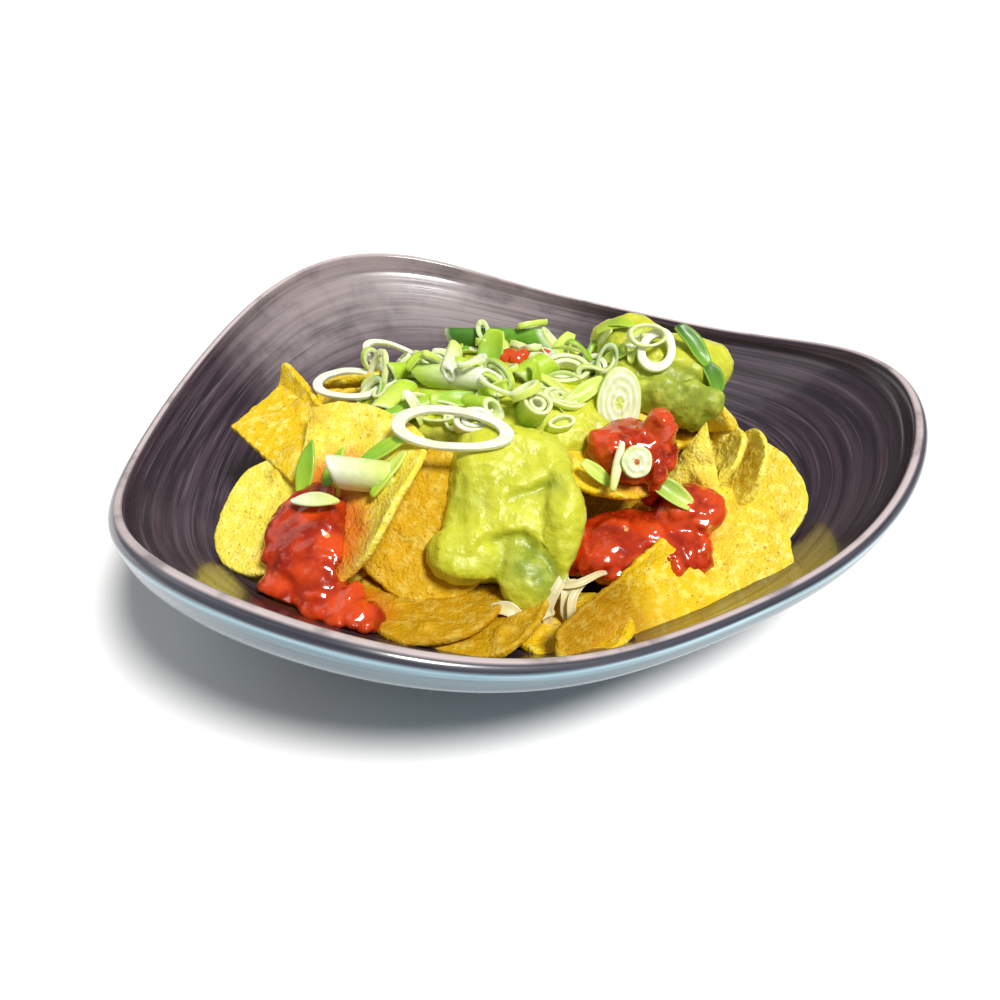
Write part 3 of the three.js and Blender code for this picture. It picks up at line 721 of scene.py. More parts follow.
guacamole, tree, shader = new_finish("mashed avocado", {
    "Subsurface Weight": 0.25, "Subsurface Radius": (0.005, 0.004, 0.0012), "Subsurface Scale": 1.0,
    "Specular IOR Level": 0.4, "Coat Weight": 0.12, "Coat Roughness": 0.2,
})
spot = wire(tree, "ShaderNodeTexCoord").outputs["Object"]
flesh_and_shade = mark(tree, "flesh_and_shade")
cloud = use_group(tree, mottle, {"Vector": spot, "Coarse": 230.0, "Fine": 900.0})
fleck = use_group(tree, specks, {"Vector": spot, "Scale": 420.0, "Rarity": 0.94, "Size": 0.22})
# Low flesh marks give greener flesh and also the painted shade of the hollow and of the right heap's front.
mash = mix_colour(tree, ease(tree, flesh_and_shade, 0.15, 0.75), (0.27, 0.35, 0.032), (0.62, 0.64, 0.036))
mash = mix_colour(tree, ease(tree, cloud["Patches"], 0.45, 0.72, 0.0, 0.45), mash, (0.77, 0.79, 0.12))
mash = mix_colour(tree, ease(tree, cloud["Grain"], 0.55, 0.75, 0.0, 0.4), mash, (0.46, 0.52, 0.03))
mash = mix_colour(tree, sums(tree, "MULTIPLY", fleck["Speck"], 0.5), mash, (0.16, 0.22, 0.03))
tree.links.new(mash, shader.inputs["Base Color"])
tree.links.new(ease(tree, cloud["Patches"], 0.3, 0.7, 0.33, 0.50), shader.inputs["Roughness"])
lumpy = sums(tree, "ADD", cloud["Patches"], sums(tree, "MULTIPLY", cloud["Grain"], 0.25))
relief(tree, shader, lumpy, 0.6, 0.0014)


def lap_over(points, laps):
    """Folds that lap over: the mash stands up along a line and is undercut on the side of a hollow."""
    push = np.zeros(len(points))
    for lap in laps:
        line = np.array(lap["line"], float)
        near = np.full(len(points), 1e9)
        away = np.zeros_like(points)
        for one, other in zip(line, line[1:]):
            run = other - one
            share = np.clip((points - one) @ run / (run @ run), 0, 1)
            gap = points - (one + share[:, None] * run)
            far = np.linalg.norm(gap, axis=1)
            away = np.where((far < near)[:, None], gap, away)
            near = np.minimum(far, near)
        inward = np.array(lap["hollow"]) - (points - away)
        inward = inward / np.linalg.norm(inward, axis=1)[:, None]
        below = np.sum(away * inward, axis=1)
        lifted = lap["lift"] * np.exp(-near / lap["wide"])
        hollowed = -lap["drop"] * np.exp(-near / (1.3 * lap["wide"]))
        inside = 0.5 + 0.5 * np.tanh(below / LAP_EDGE)
        push += lifted * (1 - inside) + hollowed * inside
    return push


guacamole_laps = {
    "guacamole_main": [
        {
            "line": [(-9, -57.5, 48), (-6.5, -57, 48.6), (0.5, -54.5, 50), (7, -50, 51)],
            "hollow": (1, -60, 45), "lift": 1.7, "drop": 1.3, "wide": 3,
        },
        {
            "line": [(-15, -65.5, 40), (-5, -64.5, 41.5), (0.5, -68.5, 38), (5, -72, 33)],
            "hollow": (-7, -71, 36.5), "lift": 2.0, "drop": 1.9, "wide": 3,
        },
        {
            "line": [(-22, -51, 51), (-25, -59, 41), (-27, -69, 34)],
            "hollow": (-40, -60, 40), "lift": 0.9, "drop": 0.6, "wide": 2.5,
        },
        {
            "line": [(-27, -70, 34), (-18, -73, 32), (-12, -72, 31)],
            "hollow": (-18, -72, 22), "lift": 1.3, "drop": 0.8, "wide": 2.2,
        },
    ],
    "guacamole_right": [
        {
            "line": [(22, -6, 66), (34, -12, 66), (46, -14, 62)],
            "hollow": (36, -20, 56), "lift": 1.5, "drop": 1.2, "wide": 3,
        },
        {
            "line": [(30, 6, 71), (42, -2, 70), (52, -4, 64)],
            "hollow": (52, -14, 58), "lift": 1.3, "drop": 0.8, "wide": 3,
        },
        {
            "line": [(24, 12, 66), (34, 16, 65), (44, 14, 62), (52, 6, 60)],
            "hollow": (40, 22, 54), "lift": 1.8, "drop": 1.5, "wide": 3.5,
        },
    ],
}
smears = {
    "guacamole_main": [],
    "guacamole_right": [
        ([30, -18.5, 57], [6, 3.5, 5]), ([36, -20, 58], [6.5, 3.5, 5.5]), ([43, -20.5, 57], [6.5, 3.5, 6.5]),
        ([49, -20, 56], [5.5, 3.5, 5]), ([46, -19.5, 52], [4, 3, 4.5]),
    ],
}


def smear_lump(at, size, seed):
    """A flat lump of mash that has run over what is under it."""
    points, faces = ball(3)
    points = points * (1 + 0.25 * grain(points, 0.7, seed))[:, None] * np.array(size)
    return points + np.array(at), faces


mashed_pieces = {}
for node, laps in guacamole_laps.items():
    runs = [smear_lump(at, size, i + 1) for i, (at, size) in enumerate(smears[node])]
    points, normals, faces = soft_copy(node, MASH_VOXEL, 6, runs)
    smear = points * np.array((1.0, 0.6, 0.6))
    lumps = 0.9 * grain(smear, 9, 1) + 0.55 * grain(smear, 3.8, 2) + 0.34 * grain(points, 2.0, 3)
    lumps = lumps + lap_over(points, laps)
    points = points + normals * (0.4 + lumps)[:, None]
    flesh_and_shade_marks = np.clip(0.66 + 0.32 * grain(points, 13, 6) + 0.14 * lumps, 0, 1)
    # Painted shade: the flesh is coloured darker green in the hollow under the foot's fold and, on the right
    # heap, along its front smear.
    shade = np.exp(-np.sum(((points - FOOT_HOLLOW["at"]) / FOOT_HOLLOW["size"]) ** 2, axis=1))
    browned = np.clip((-12 - points[:, 1]) / 5, 0, 1) * np.clip((points[:, 0] - 20) / 6, 0, 1)
    flesh_and_shade_marks = np.clip(flesh_and_shade_marks - 0.5 * shade - 0.36 * browned, 0, 1)
    mashed = build_piece("mashed_" + node, points, faces, guacamole, {"flesh_and_shade": flesh_and_shade_marks})
    mashed_pieces[node] = (points, faces)
    dress(mashed, node)

# Salsa
# Chopped tomato in its own thick juice, spooned over the chips: soft cubes of flesh with wet skins,
# sauce that runs between them, and a few pale seeds.
SALSA_VOXEL = 0.7
salsa, tree, shader = new_finish("tomato salsa", {
    "Subsurface Weight": 0.10, "Subsurface Radius": (0.006, 0.0012, 0.0006), "Subsurface Scale": 1.0,
    "Coat Weight": 0.5, "Coat Roughness": 0.06,
})
spot = wire(tree, "ShaderNodeTexCoord").outputs["Object"]
chunk = mark(tree, "chunk")
cloud = use_group(tree, mottle, {"Vector": spot, "Coarse": 170.0, "Fine": 700.0})
seed_dot = use_group(tree, specks, {"Vector": spot, "Scale": 260.0, "Rarity": 0.93, "Size": 0.24})
red = mix_colour(tree, ease(tree, cloud["Patches"], 0.35, 0.68), (0.30, 0.014, 0.002), (0.58, 0.042, 0.005))
red = mix_colour(tree, ease(tree, chunk, 0.2, 0.8, 0.0, 0.85), red, (0.74, 0.075, 0.010))
red = mix_colour(tree, ease(tree, cloud["Grain"], 0.58, 0.78, 0.0, 0.3), red, (0.78, 0.17, 0.02))
red = mix_colour(tree, sums(tree, "MULTIPLY", seed_dot["Speck"], 0.7), red, (0.86, 0.50, 0.14))
tree.links.new(red, shader.inputs["Base Color"])
tree.links.new(ease(tree, cloud["Grain"], 0.3, 0.7, 0.10, 0.24), shader.inputs["Roughness"])
relief(tree, shader, cloud["Patches"], 0.35, 0.0012)


def tomato_cube(at, size, seed):
    """A soft cube of tomato: a ball pushed towards a box, its corners still round."""
    points, faces = ball(3)
    strength = np.max(np.abs(points), axis=1)[:, None]
    boxy = points / strength * 0.82
    points = (0.45 * points + 0.55 * boxy) * np.array(size)
    points = points * (1 + 0.12 * grain(points, max(size) * 0.9, seed))[:, None]
    luck = random.Random(seed)
    turned = settle(points, at, luck.uniform(0, 50), luck.uniform(0, 360), luck.uniform(0, 360))
    return turned, faces


salsa_cubes = {
    "salsa_left": [
        ([-53.5, -69, 38], [3.6, 3.6, 3]), ([-63.5, -58.5, 40.5], [3, 3.4, 2.4]),
        ([-64.5, -68, 35], [3.4, 3, 2.4]), ([-57.5, -74, 33.5], [3.2, 3.4, 2.6]),
        ([-49, -81.5, 29.5], [3.4, 3, 2.8]), ([-44.5, -83.5, 29], [3, 2.6, 2.6]),
        ([-59, -62, 41.5], [2.6, 3, 2.2]), ([-66, -75, 31.5], [3, 2.8, 2]),
    ],
    "salsa_right": [
        ([33, -35, 57], [3.2, 3, 4.5]), ([20, -40, 51], [3, 3, 2.4]), ([27, -44, 49], [3, 2.6, 2.8]),
    ],
    "salsa_pool": [
        ([37, -50, 38], [3.4, 3, 2.8]), ([46, -45, 39], [3.2, 3, 2.6]), ([30, -55, 35], [3, 3, 2.4]),
        ([18, -60, 31], [3.2, 3, 2.4]), ([44, -52, 36], [3, 2.6, 2.4]),
    ],
}
for node, cubes in salsa_cubes.items():
    lumps = [tomato_cube(at, size, 3 * i + len(cubes)) for i, (at, size) in enumerate(cubes)]
    points, normals, faces = soft_copy(node, SALSA_VOXEL, 8, lumps)
    chopped = np.clip(0.55 + 0.9 * grain(points, 12, 5), 0.15, 1.1)
    billow = (2.8 * np.abs(grain(points, 7, 1)) + 1.3 * np.abs(grain(points, 3.4, 2))) * chopped
    ripple = billow - 0.7 + 0.12 * grain(points, 1.5, 3)
    points = points + normals * (0.45 + ripple)[:, None]
    chunk_marks = np.clip(billow * 0.7 - 0.25, 0, 0.7)
    for at, size in cubes:
        away = np.linalg.norm(points - np.array(at), axis=1) / (max(size) * 1.25)
        chunk_marks = np.maximum(chunk_marks, np.clip(1.5 - away, 0, 1))
    spooned = build_piece("spooned_" + node, points, faces, salsa, {"chunk": chunk_marks})
    dress(spooned, node)

# Shreds
# Fine cream-coloured strips of raw cabbage, sliced thin, caught in the gap under the guacamole.
# Each is limp and slightly see-through, and lies bent over its neighbours.


def strip_mesh(strip, along=30, across=9):
    """A long curved strip with round edges, wide in the middle and narrow at its ends."""
    long, wide = strip["long"], strip["wide"]
    thick = strip.get("thick", 1.3)
    seed = strip.get("seed", 1)
    blunt = strip.get("blunt", 0.45)
    steps = np.linspace(-1, 1, along)
    loop = [(-1 + 2 * i / (across - 1), 1) for i in range(across)]
    loop += [(1 - 2 * i / (across - 1), -1) for i in range(across)]
    rows = []
    for step in steps:
        for sideways, side in loop:
            round_edge = math.sqrt(max(0.0, 1 - 0.85 * sideways ** 4))
            rows.append((step, sideways, side * round_edge, side))
    step, sideways, face, side = np.array(rows).T
    end = np.clip((1 - np.abs(step)) / 0.06, 0, 1) ** 0.5
    width = (1 - blunt * step ** 2) * (0.35 + 0.65 * end)
    x = step * long / 2
    y = sideways * wide / 2 * width
    z = face * thick / 2 * (0.3 + 0.7 * end)
    wobble = grain(np.c_[x, y, np.full(len(x), seed * 4.0)], 5, seed)
    z = z + strip.get("roll", 0) * (2 * y / wide) ** 2 - strip.get("arch", 0) * step ** 2 + 0.5 * wobble
    y = y + strip.get("sway", 0) * np.sin(step * 2.2 + seed) * (1 - 0.3 * step ** 2)
    points = lay(np.c_[x, y, z], strip)
    return points, tube_faces(along, len(loop)), {"step": step, "sideways": sideways, "side": side}


plant, tree, shader = new_finish("cut greens", {
    "Subsurface Weight": 0.3, "Subsurface Radius": (0.0022, 0.0026, 0.0011), "Subsurface Scale": 1.0,
    "Coat Weight": 0.1, "Coat Roughness": 0.2,
})
tint = mark(tree, "tint", "Color")
fibre_way = mark(tree, "fibre", "Vector")
fibre = use_group(tree, streaks, {"Vector": fibre_way, "Length": 2.2, "Fineness": 0.09})
streaky = ease(tree, fibre["Streak"], 0.35, 0.65, 0.0, 0.35)
shade = mix_colour(tree, streaky, tint, (0.62, 0.72, 0.30), "MULTIPLY")
shade = mix_colour(tree, ease(tree, fibre["Hairline"], 0.55, 0.75, 0.0, 0.14), shade, (0.93, 0.96, 0.75))
tree.links.new(shade, shader.inputs["Base Color"])
tree.links.new(ease(tree, fibre["Streak"], 0.3, 0.7, 0.32, 0.48), shader.inputs["Roughness"])
relief(tree, shader, fibre["Streak"], 0.25, 0.0003)

SHRED_CREAM = np.array((0.84, 0.74, 0.42))
shred_places = [
    {"at": [0, -75, 28], "long": 21, "wide": 3.2, "arch": 3, "tilt": 52, "spin": 25},
    {"at": [3, -76, 27.5], "long": 17, "wide": 3.0, "arch": 2, "tilt": 58, "spin": 80},
    {"at": [6, -75, 28], "long": 15, "wide": 3.0, "arch": 2, "tilt": 55, "spin": 112},
    {"at": [-8, -79, 25.5], "long": 14, "wide": 3.8, "arch": 2, "tilt": 40, "spin": 165},
    {"at": [9, -72, 32.5], "long": 17, "wide": 2.0, "arch": 4, "tilt": 30, "spin": 14},
    {"at": [-3, -80, 25], "long": 13, "wide": 3.0, "arch": 2, "tilt": 46, "spin": 12},
    {"at": [8, -77, 27], "long": 14, "wide": 2.4, "arch": 2, "tilt": 52, "spin": 65},
]
shred_parts = []
for i, strip in enumerate(shred_places):
    points, faces, spots = strip_mesh({**strip, "thick": 0.6, "sway": 1.6, "roll": 0.7, "seed": i + 1})
    pale = SHRED_CREAM * (1 - 0.1 * np.abs(spots["step"])[:, None])
    fibre_marks = np.c_[spots["step"] * 3, np.full(len(points), i), spots["sideways"] * 60]
    shred_parts.append((points, faces, {"tint": pale, "fibre": fibre_marks}))
points, faces, marks = join_parts(shred_parts)
sliced_shreds = build_piece("sliced_shreds", points, faces, plant, marks)
dress(sliced_shreds, "shreds")

# Spring onion
# Raw spring onion cut across and aslant with a sharp knife, then scattered: rings and short tubes of the
# white part, slices that show their layers, and curved strips of green leaf.
WHITE = np.array((0.90, 0.93, 0.78))
PALE = np.array((0.72, 0.84, 0.17))
LIME = np.array((0.49, 0.70, 0.038))
GREEN = np.array((0.19, 0.45, 0.022))
DARK = np.array((0.045, 0.16, 0.016))
ONION_WALL = 1.3
LAYER_GAP = 0.35
SLICE_THICKNESS = 2.5


def ring_mesh(ring, around=56, up=7):
    """A ring or tube, squashed to an oval with slanted ends: one or more layers inside each other."""
    parts = []
    seed = ring["seed"]
    wall = ring.get("wall", ONION_WALL)
    low, high = ring["skin"]
    inner_colour = ring.get("inner", WHITE)
    aslant = (ring["wide"] / ring["deep"]) ** 0.6
    # Round the section: how far in, how high, the share of skin colour and the share of cut face.
    side = np.linspace(-0.9, 0.9, up)
    cut_face = [(0.1, 1.0), (0.5, 1.05), (0.9, 1.0)]
    loop = [(0.0, height, 1.0, 0.0) for height in side]
    loop += [(inward, height, 0.5, 1.0) for inward, height in cut_face]
    loop += [(1.0, -height, 0.0, 0.0) for height in side]
    loop += [(1 - inward, -height, 0.5, 1.0) for inward, height in cut_face]
    for layer in range(ring.get("layers", 1)):
        inset = layer * (wall + LAYER_GAP)
        half_wide = ring["wide"] / 2 - inset * aslant
        half_deep = ring["deep"] / 2 - inset
        if min(half_wide, half_deep) < wall + 0.4:
            break
        half = ring["tall"] / 2 * (1 - 0.10 * layer)
        rows = []
        colours = []
        fibres = []
        for i in range(around):
            turn = 2 * math.pi * i / around
            wave = 1 + 0.045 * math.sin(2 * turn + seed) + 0.03 * math.sin(3 * turn + 2 * seed)
            lip = 0.25 * noise.noise((math.cos(turn) * 2 + seed, math.sin(turn) * 2, layer))
            for inward, height, skin, rim in loop:
                pull = inward * wall
                x = (half_wide - pull * aslant) * math.cos(turn) * wave
                y = (half_deep - pull) * math.sin(turn) * wave
                z = height * (half + lip) + ring.get("slant", 0) * x
                rows.append((x, y, z))
                outer = low + (high - low) * (height * 0.5 + 0.5)
                cut = 0.55 * WHITE + 0.45 * outer
                colour = skin * outer + (1 - skin) * inner_colour
                colours.append(colour * (1 - rim) + cut * rim)
                fibres.append((height * 2.0 + layer * 7, seed, turn * 40))
        faces = [(face[0], *face[:0:-1]) for face in bands(around, len(loop), closed=True)]
        parts.append((lay(rows, ring), faces, {"tint": colours, "fibre": fibres}))
    return join_parts(parts)


def slice_mesh(cut, rings=26, spokes=64):
    """An oval slice: concentric layers with a fine groove between each, a green skin outside."""
    rows = []
    colours = []
    fibres = []
    layers = cut["layers"]
    half = SLICE_THICKNESS / 2
    for side in (1, -1):
        for i in range(rings):
            share = (i + 0.5) / rings if i < rings - 1 else 1.0
            groove = 0.5 + 0.5 * math.cos(2 * math.pi * share * layers)
            for k in range(spokes):
                turn = 2 * math.pi * k / spokes
                wave = 1 + 0.03 * math.sin(2 * turn + cut["seed"]) + 0.02 * math.sin(5 * turn)
                dome = half * (1 - 0.25 * share ** 6) + 0.22 * groove - 0.25 * (1 - share)
                rows.append((
                    cut["wide"] / 2 * share * math.cos(turn) * wave,
                    cut["deep"] / 2 * share * math.sin(turn) * wave,
                    side * dome + 0.25 * noise.noise((math.cos(turn) * 2, math.sin(turn) * 2, share * 3)),
                ))
                colour = WHITE * groove + (0.55 * PALE + 0.45 * WHITE) * (1 - groove)
                if share < 0.2:
                    colour = cut.get("heart", PALE)
                if share > 0.95:
                    colour = 0.5 * LIME + 0.5 * PALE
                colours.append(colour)
                fibres.append((share * 3, cut["seed"], turn * 30))
    return lay(rows, cut), disc_faces(rings, spokes, rings), {"tint": colours, "fibre": fibres}


def leaf_mesh(leaf):
    """A strip of leaf: one colour runs into another along it, and its inside and edges are paler."""
    points, faces, spots = strip_mesh(leaf)
    low, high = leaf["skin"]
    along = spots["step"][:, None] * 0.5 + 0.5
    outer = low + (high - low) * along
    inner = 0.5 * outer + 0.5 * leaf.get("inner", PALE)
    colour = np.where(spots["side"][:, None] > 0, outer, inner)
    edge = np.clip((np.abs(spots["sideways"])[:, None] - 0.8) / 0.2, 0, 1) * 0.5
    colour = colour * (1 - edge) + (0.5 * PALE + 0.5 * colour) * edge
    fibre_marks = np.c_[spots["step"] * 2, np.full(len(points), leaf["seed"]), spots["sideways"] * 90]
    return points, faces, {"tint": colour, "fibre": fibre_marks}


def ring_cut(at, pose, size, skin, **more):
    """A ring or tube: its width, depth and height, and its skin from end to end."""
    wide, deep, tall = size
    return placed(at, pose, wide=wide, deep=deep, tall=tall, skin=skin, **more)


def slice_cut(at, pose, size, **more):
    """A slice: its width and depth, and how many layers it shows."""
    wide, deep, layers = size
    return placed(at, pose, wide=wide, deep=deep, layers=layers, **more)


def leaf_cut(at, pose, size, skin, **more):
    """A strip of leaf: its length, its width and how far it rolls up, and its skin."""
    long, wide, roll = size
    return placed(at, pose, long=long, wide=wide, roll=roll, skin=skin, **more)


rings = {
    "onion_ring_front": ring_cut([-24, -44.5, 59.6], (22, 275, -6), (31, 15, 1.3), (WHITE, WHITE), wall=2.3),
    "onion_ring_left": ring_cut([-55, -12, 56], (20, 280, 8), (20, 13, 1.2), (WHITE, WHITE), wall=2.0),
    "onion_loop_left": ring_cut([-41, -5, 60], (22, 260, -35), (27, 12, 1.4), (PALE, WHITE)),
    "onion_ring_upright": ring_cut([-47, -11, 58], (70, 215, 40), (17, 9, 1.4), (WHITE, PALE)),
    "onion_tube_left": ring_cut([-41, -21, 56], (78, 60, 0), (7, 6, 13), (PALE, LIME), slant=0.5),
    "onion_tube_dark": ring_cut([-36, -27, 55], (80, 25, 0), (6, 5, 18), (GREEN, LIME), slant=0.5),
    "onion_tube_split": ring_cut(
        [-22, -18, 61], (84, 340, 0), (9, 7, 21), (LIME, WHITE), slant=0.95, layers=2,
    ),
    "onion_tube_back": ring_cut([-11, 12, 61], (86, 352, 0), (7, 6, 30), (DARK, GREEN), slant=0.5),
    "onion_tube_front": ring_cut(
        [-2, -30, 58], (40, 290, 100), (9.5, 8.5, 11), (GREEN, PALE), slant=-0.6, layers=2,
    ),
    "onion_tube_middle": ring_cut([-1, -13, 62], (74, 35, 0), (8, 7, 11), (LIME, LIME), slant=0.4, layers=2),
    "onion_ring_middle": ring_cut([8, -11, 61], (30, 275, 10), (16, 10, 4), (LIME, PALE), layers=2),
    "onion_ring_pale": ring_cut([17, -9, 60], (50, 250, 60), (11, 8, 3), (PALE, WHITE), layers=2),
    "onion_ring_hole": ring_cut([34, -13, 69], (48, 265, 60), (13, 11, 2), (PALE, WHITE), wall=2.4),
    "onion_ring_inner": ring_cut([-18, -38, 58], (35, 275, 0), (11, 8, 4), (PALE, WHITE), layers=2),
    "onion_tube_salsa": ring_cut(
        [-45.5, -55.4, 51.5], (70, 205, 0), (10, 8, 17), (PALE, WHITE), slant=0.85, layers=2,
    ),
}
slices = {
    "onion_slice_oval": slice_cut([23, -23, 57], (62, 272, 92), (21, 12.5, 4)),
    "onion_slice_round": slice_cut(
        [25, -47, 52], (58, 275, 90), (9, 8, 2), heart=np.array((0.70, 0.16, 0.07)),
    ),
}
leaves = {
    "onion_leaf_back": leaf_cut([-13, 2, 61], (55, 250, 70), (14, 8, 2), (GREEN, LIME)),
    "onion_strip_bright": leaf_cut([9, 7, 61], (30, 270, 60), (12, 5, 1), (LIME, PALE)),
    "onion_strip_right": leaf_cut([13, -21, 59], (40, 280, 40), (16, 5, 1), (LIME, PALE)),
    "onion_strip_thin": leaf_cut([20, -48, 51], (50, 275, 80), (14, 2.6, 0), (PALE, WHITE)),
    "onion_strip_salsa": leaf_cut([15, -45, 47], (40, 275, -40), (10, 4, 1), (PALE, LIME)),
    "onion_half_right": leaf_cut([35, -48, 43], (40, 280, -30), (14, 6, 2), (GREEN, PALE)),
    "onion_leaf_right": leaf_cut([45, -9, 69], (40, 300, -45), (15, 6, 2), (DARK, GREEN)),
    "onion_leaf_edge": leaf_cut([51, -14, 61], (55, 300, -50), (10, 6, 2), (DARK, GREEN)),
    "onion_strip_left": leaf_cut(
        [-41.6, -47.3, 54.3], (32, 231, 20), (17, 4.5, 1), (GREEN, LIME), blunt=0.75,
    ),
    "onion_strip_low": leaf_cut([-39.6, -55.7, 52.4], (34, 205, 45), (15, 5, 1), (LIME, PALE), blunt=0.75),
    "onion_blade_left": leaf_cut([-62, -49, 48], (50, 250, 75), (18, 5, 1), (LIME, GREEN), blunt=0.9),
    "onion_blade_dark": leaf_cut([-54.3, -50.8, 50.2], (50, 240, 55), (13, 4, 1), (GREEN, LIME), blunt=0.9),
    "onion_sliver": leaf_cut(
        [-57.7, -61.7, 47.6], (22, 250, -5), (13, 4, 1), (WHITE, PALE), inner=WHITE, blunt=0.85,
    ),
    "onion_leaf_middle": leaf_cut([-23, -25, 58], (35, 275, 5), (16, 5, 1), (LIME, GREEN)),
}
toppings = [mashed_pieces["guacamole_main"], mashed_pieces["guacamole_right"]]
seed = 0
for table, make in ((rings, ring_mesh), (slices, slice_mesh), (leaves, leaf_mesh)):
    for node, cut in table.items():
        seed += 1
        points, faces, marks = make({**cut, "seed": seed})
        toppings.append((points, faces))
        fresh = build_piece("fresh_" + node, points, faces, plant, marks)
        dress(fresh, node)

# Spring onion trimmings
# The small rings, half rings and slivers that come off the same knife, strewn over the guacamole between
# the larger pieces. Each lies on whatever is under it.
TRIMMING_TRIES = 95
STREWN_MIDDLE = (-8, -11)
STREWN_REACH = (42, 23)
STREWN_LOWEST = 50
OVAL_SLICE = {"middle": (23.5, -23), "half": (8.5, 9)}
DROP_HEIGHT = 120
lain_points, lain_faces, _ = join_parts([(points, faces, {}) for points, faces in toppings])
under = BVHTree.FromPolygons(lain_points.tolist(), lain_faces)
luck = random.Random(11)
skins = [(WHITE, PALE), (PALE, LIME), (PALE, PALE), (LIME, LIME), (LIME, GREEN), (PALE, WHITE), (LIME, PALE)]


def landing(x, y):
    """Where a bit that is dropped at x, y comes to lie, and the way that spot faces."""
    return under.ray_cast(Vector((x, y, DROP_HEIGHT)), Vector((0, 0, -1)))[:2]


trimmings = []
for i in range(TRIMMING_TRIES):
    way = luck.uniform(0, 2 * math.pi)
    far = math.sqrt(luck.random())
    x = STREWN_MIDDLE[0] + STREWN_REACH[0] * far * math.cos(way)
    y = STREWN_MIDDLE[1] + STREWN_REACH[1] * far * math.sin(way)
    hit, facing = landing(x, y)
    off_x = abs(x - OVAL_SLICE["middle"][0])
    off_y = abs(y - OVAL_SLICE["middle"][1])
    on_slice = off_x < OVAL_SLICE["half"][0] and off_y < OVAL_SLICE["half"][1]
    if hit is None or hit.z < STREWN_LOWEST or on_slice:
        continue
    lean = math.degrees(facing.angle(Vector((0, 0, 1))))
    toward = math.degrees(math.atan2(facing.y, facing.x)) + luck.uniform(-25, 25)
    cut = {
        "at": list(hit + facing * 1.2), "tilt": lean + luck.uniform(-6, 22), "toward": toward,
        "spin": luck.uniform(0, 360), "skin": luck.choice(skins), "seed": 100 + i,
        "inner": 0.5 * WHITE + 0.5 * PALE,
    }
    kind = luck.random()
    if kind < 0.5:
        wide = luck.uniform(8, 15)
        trimmings.append(ring_mesh({
            **cut, "wide": wide, "deep": wide * luck.uniform(0.42, 0.68), "tall": luck.uniform(1.2, 2.4),
            "wall": luck.uniform(0.8, 1.3), "slant": luck.uniform(0, 0.25), "layers": luck.choice((1, 1, 2)),
        }, 36, 4))
    elif kind < 0.58:
        wide = luck.uniform(5, 7)
        trimmings.append(ring_mesh({
            **cut, "tilt": 76, "wide": wide, "deep": wide * 0.8, "tall": luck.uniform(7, 12), "slant": 0.5,
            "layers": 2,
        }, 36, 5))
    else:
        trimmings.append(leaf_mesh({
            **cut, "long": luck.uniform(8, 15), "wide": luck.uniform(2.4, 4.6),
            "roll": luck.uniform(0.4, 1.6), "arch": luck.uniform(0.3, 2), "thick": 0.8,
        }))
points, faces, marks = join_parts(trimmings)
fresh_trimmings = build_piece("fresh_onion_trimmings", points, faces, plant, marks)
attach(fresh_trimmings, "root")

# Stray tomato
# A few bits of the salsa's chopped tomato, caught between the onion at the back and at the left. They
# lie where they fell, half sunk in what is under them.
stray_spots = [(-8, 0, 3.2), (-4, 1.5, 2.6), (-6, -3, 2.2), (-46, -37, 2.6), (3, 3, 2.0)]
strays = []
for i, (x, y, size) in enumerate(stray_spots):
    hit, facing = landing(x, y)
    if hit is None:
        continue
    points, faces = tomato_cube(list(hit + facing * 0.8), [size, size, size * 0.8], 60 + i)
    strays.append((points, faces, {"chunk": np.full(len(points), 0.8)}))
points, faces, marks = join_parts(strays)
stray_tomato = build_piece("spooned_stray_tomato", points, faces, salsa, marks)
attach(stray_tomato, "root")

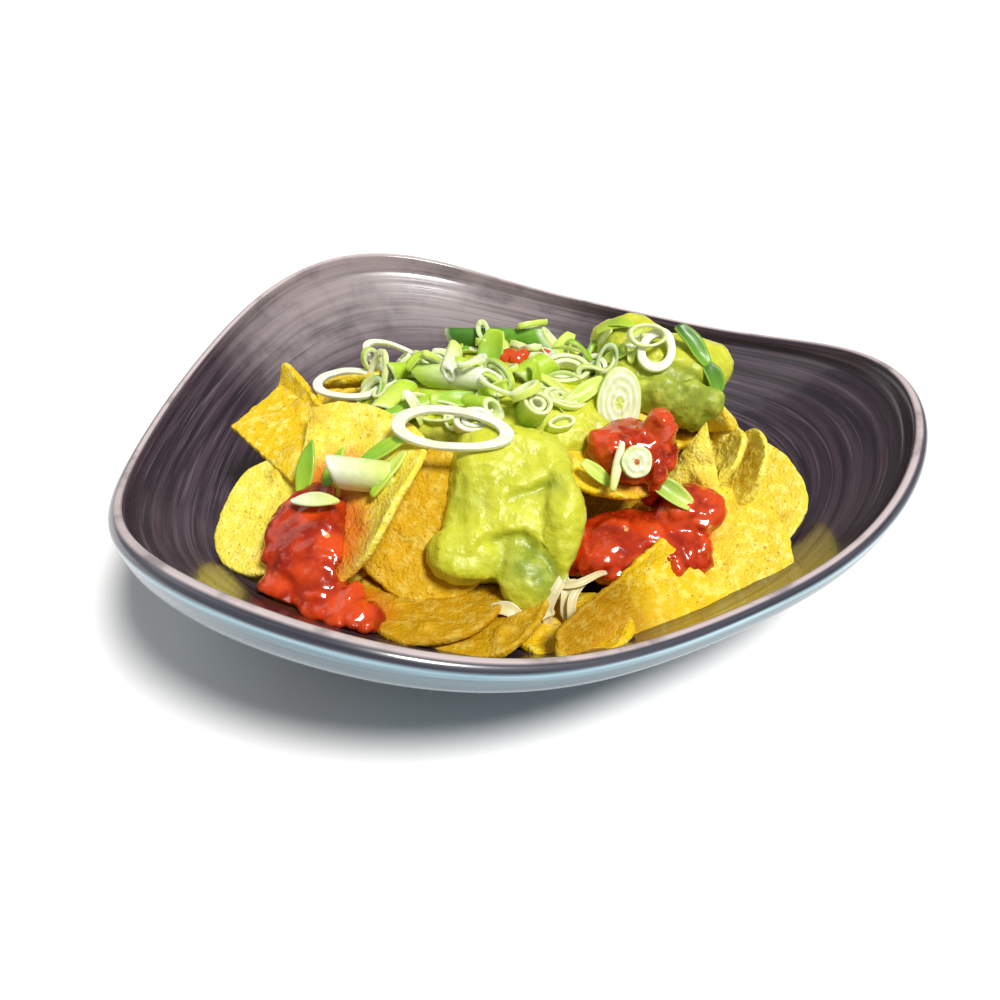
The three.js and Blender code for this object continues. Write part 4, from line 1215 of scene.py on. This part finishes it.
# Floor, light and camera
# A plain white sheet with soft daylight from the upper right, as for a menu picture. The camera looks
# down from the diner's seat.
SHEET_HALF = 30000
sheet, tree, shader = new_finish("white sheet", {
    "Base Color": (0.96, 0.96, 0.96, 1), "Roughness": 0.9, "Specular IOR Level": 0.1,
})
corners = [(x * SHEET_HALF, y * SHEET_HALF, 0) for x, y in ((-1, -1), (1, -1), (1, 1), (-1, 1))]
floor = build_piece("floor", corners, [(0, 1, 2, 3)], sheet)

world = bpy.data.worlds.new("daylight")
bpy.context.scene.world = world
world.use_nodes = True
tree = world.node_tree
fill = tree.nodes["Background"]
fill.inputs["Color"].default_value = (1.0, 0.99, 0.98, 1)
fill.inputs["Strength"].default_value = 0.2
backdrop = wire(tree, "ShaderNodeBackground", {"Color": (1, 1, 1, 1), "Strength": 1.0})
seen = wire(tree, "ShaderNodeLightPath").outputs["Is Camera Ray"]
sky = wire(tree, "ShaderNodeMixShader", {0: seen, 1: fill.outputs[0], 2: backdrop.outputs[0]})
tree.links.new(sky.outputs[0], tree.nodes["World Output"].inputs["Surface"])


def daylight(name, toward, strength, spread, colour=(1, 1, 1)):
    """A soft sun, seen in the direction given."""
    lamp = bpy.data.lights.new(name, "SUN")
    lamp.energy = strength
    lamp.angle = math.radians(spread)
    lamp.color = colour
    holder = bpy.data.objects.new(name, lamp)
    holder.rotation_euler = Vector(toward).to_track_quat("Z", "Y").to_euler()
    bpy.context.collection.objects.link(holder)


daylight("window", (0.34, -0.40, 0.85), 3.6, 16, (1.0, 0.985, 0.96))
daylight("second window", (-0.62, 0.25, 0.70), 0.4, 50)

camera_data = bpy.data.cameras.new("camera")
camera_data.sensor_width = 36
camera_data.lens = 30.5
camera_data.clip_start = 0.01
camera_data.clip_end = 200
camera = bpy.data.objects.new("camera", camera_data)
right = Vector((0.99946908, -0.01470979, 0.0290719))
upward = Vector((-0.01606525, 0.55377649, 0.83251036))
ahead = Vector((0.02834539, 0.83253541, -0.55324617))
camera.matrix_world = Matrix.Translation((-0.0172786, -0.2391836, 0.1668494)) @ Matrix((
    right, upward, -ahead,
)).transposed().to_4x4()
bpy.context.collection.objects.link(camera)
bpy.context.scene.camera = camera
bpy.context.scene.view_settings.view_transform = "Standard"
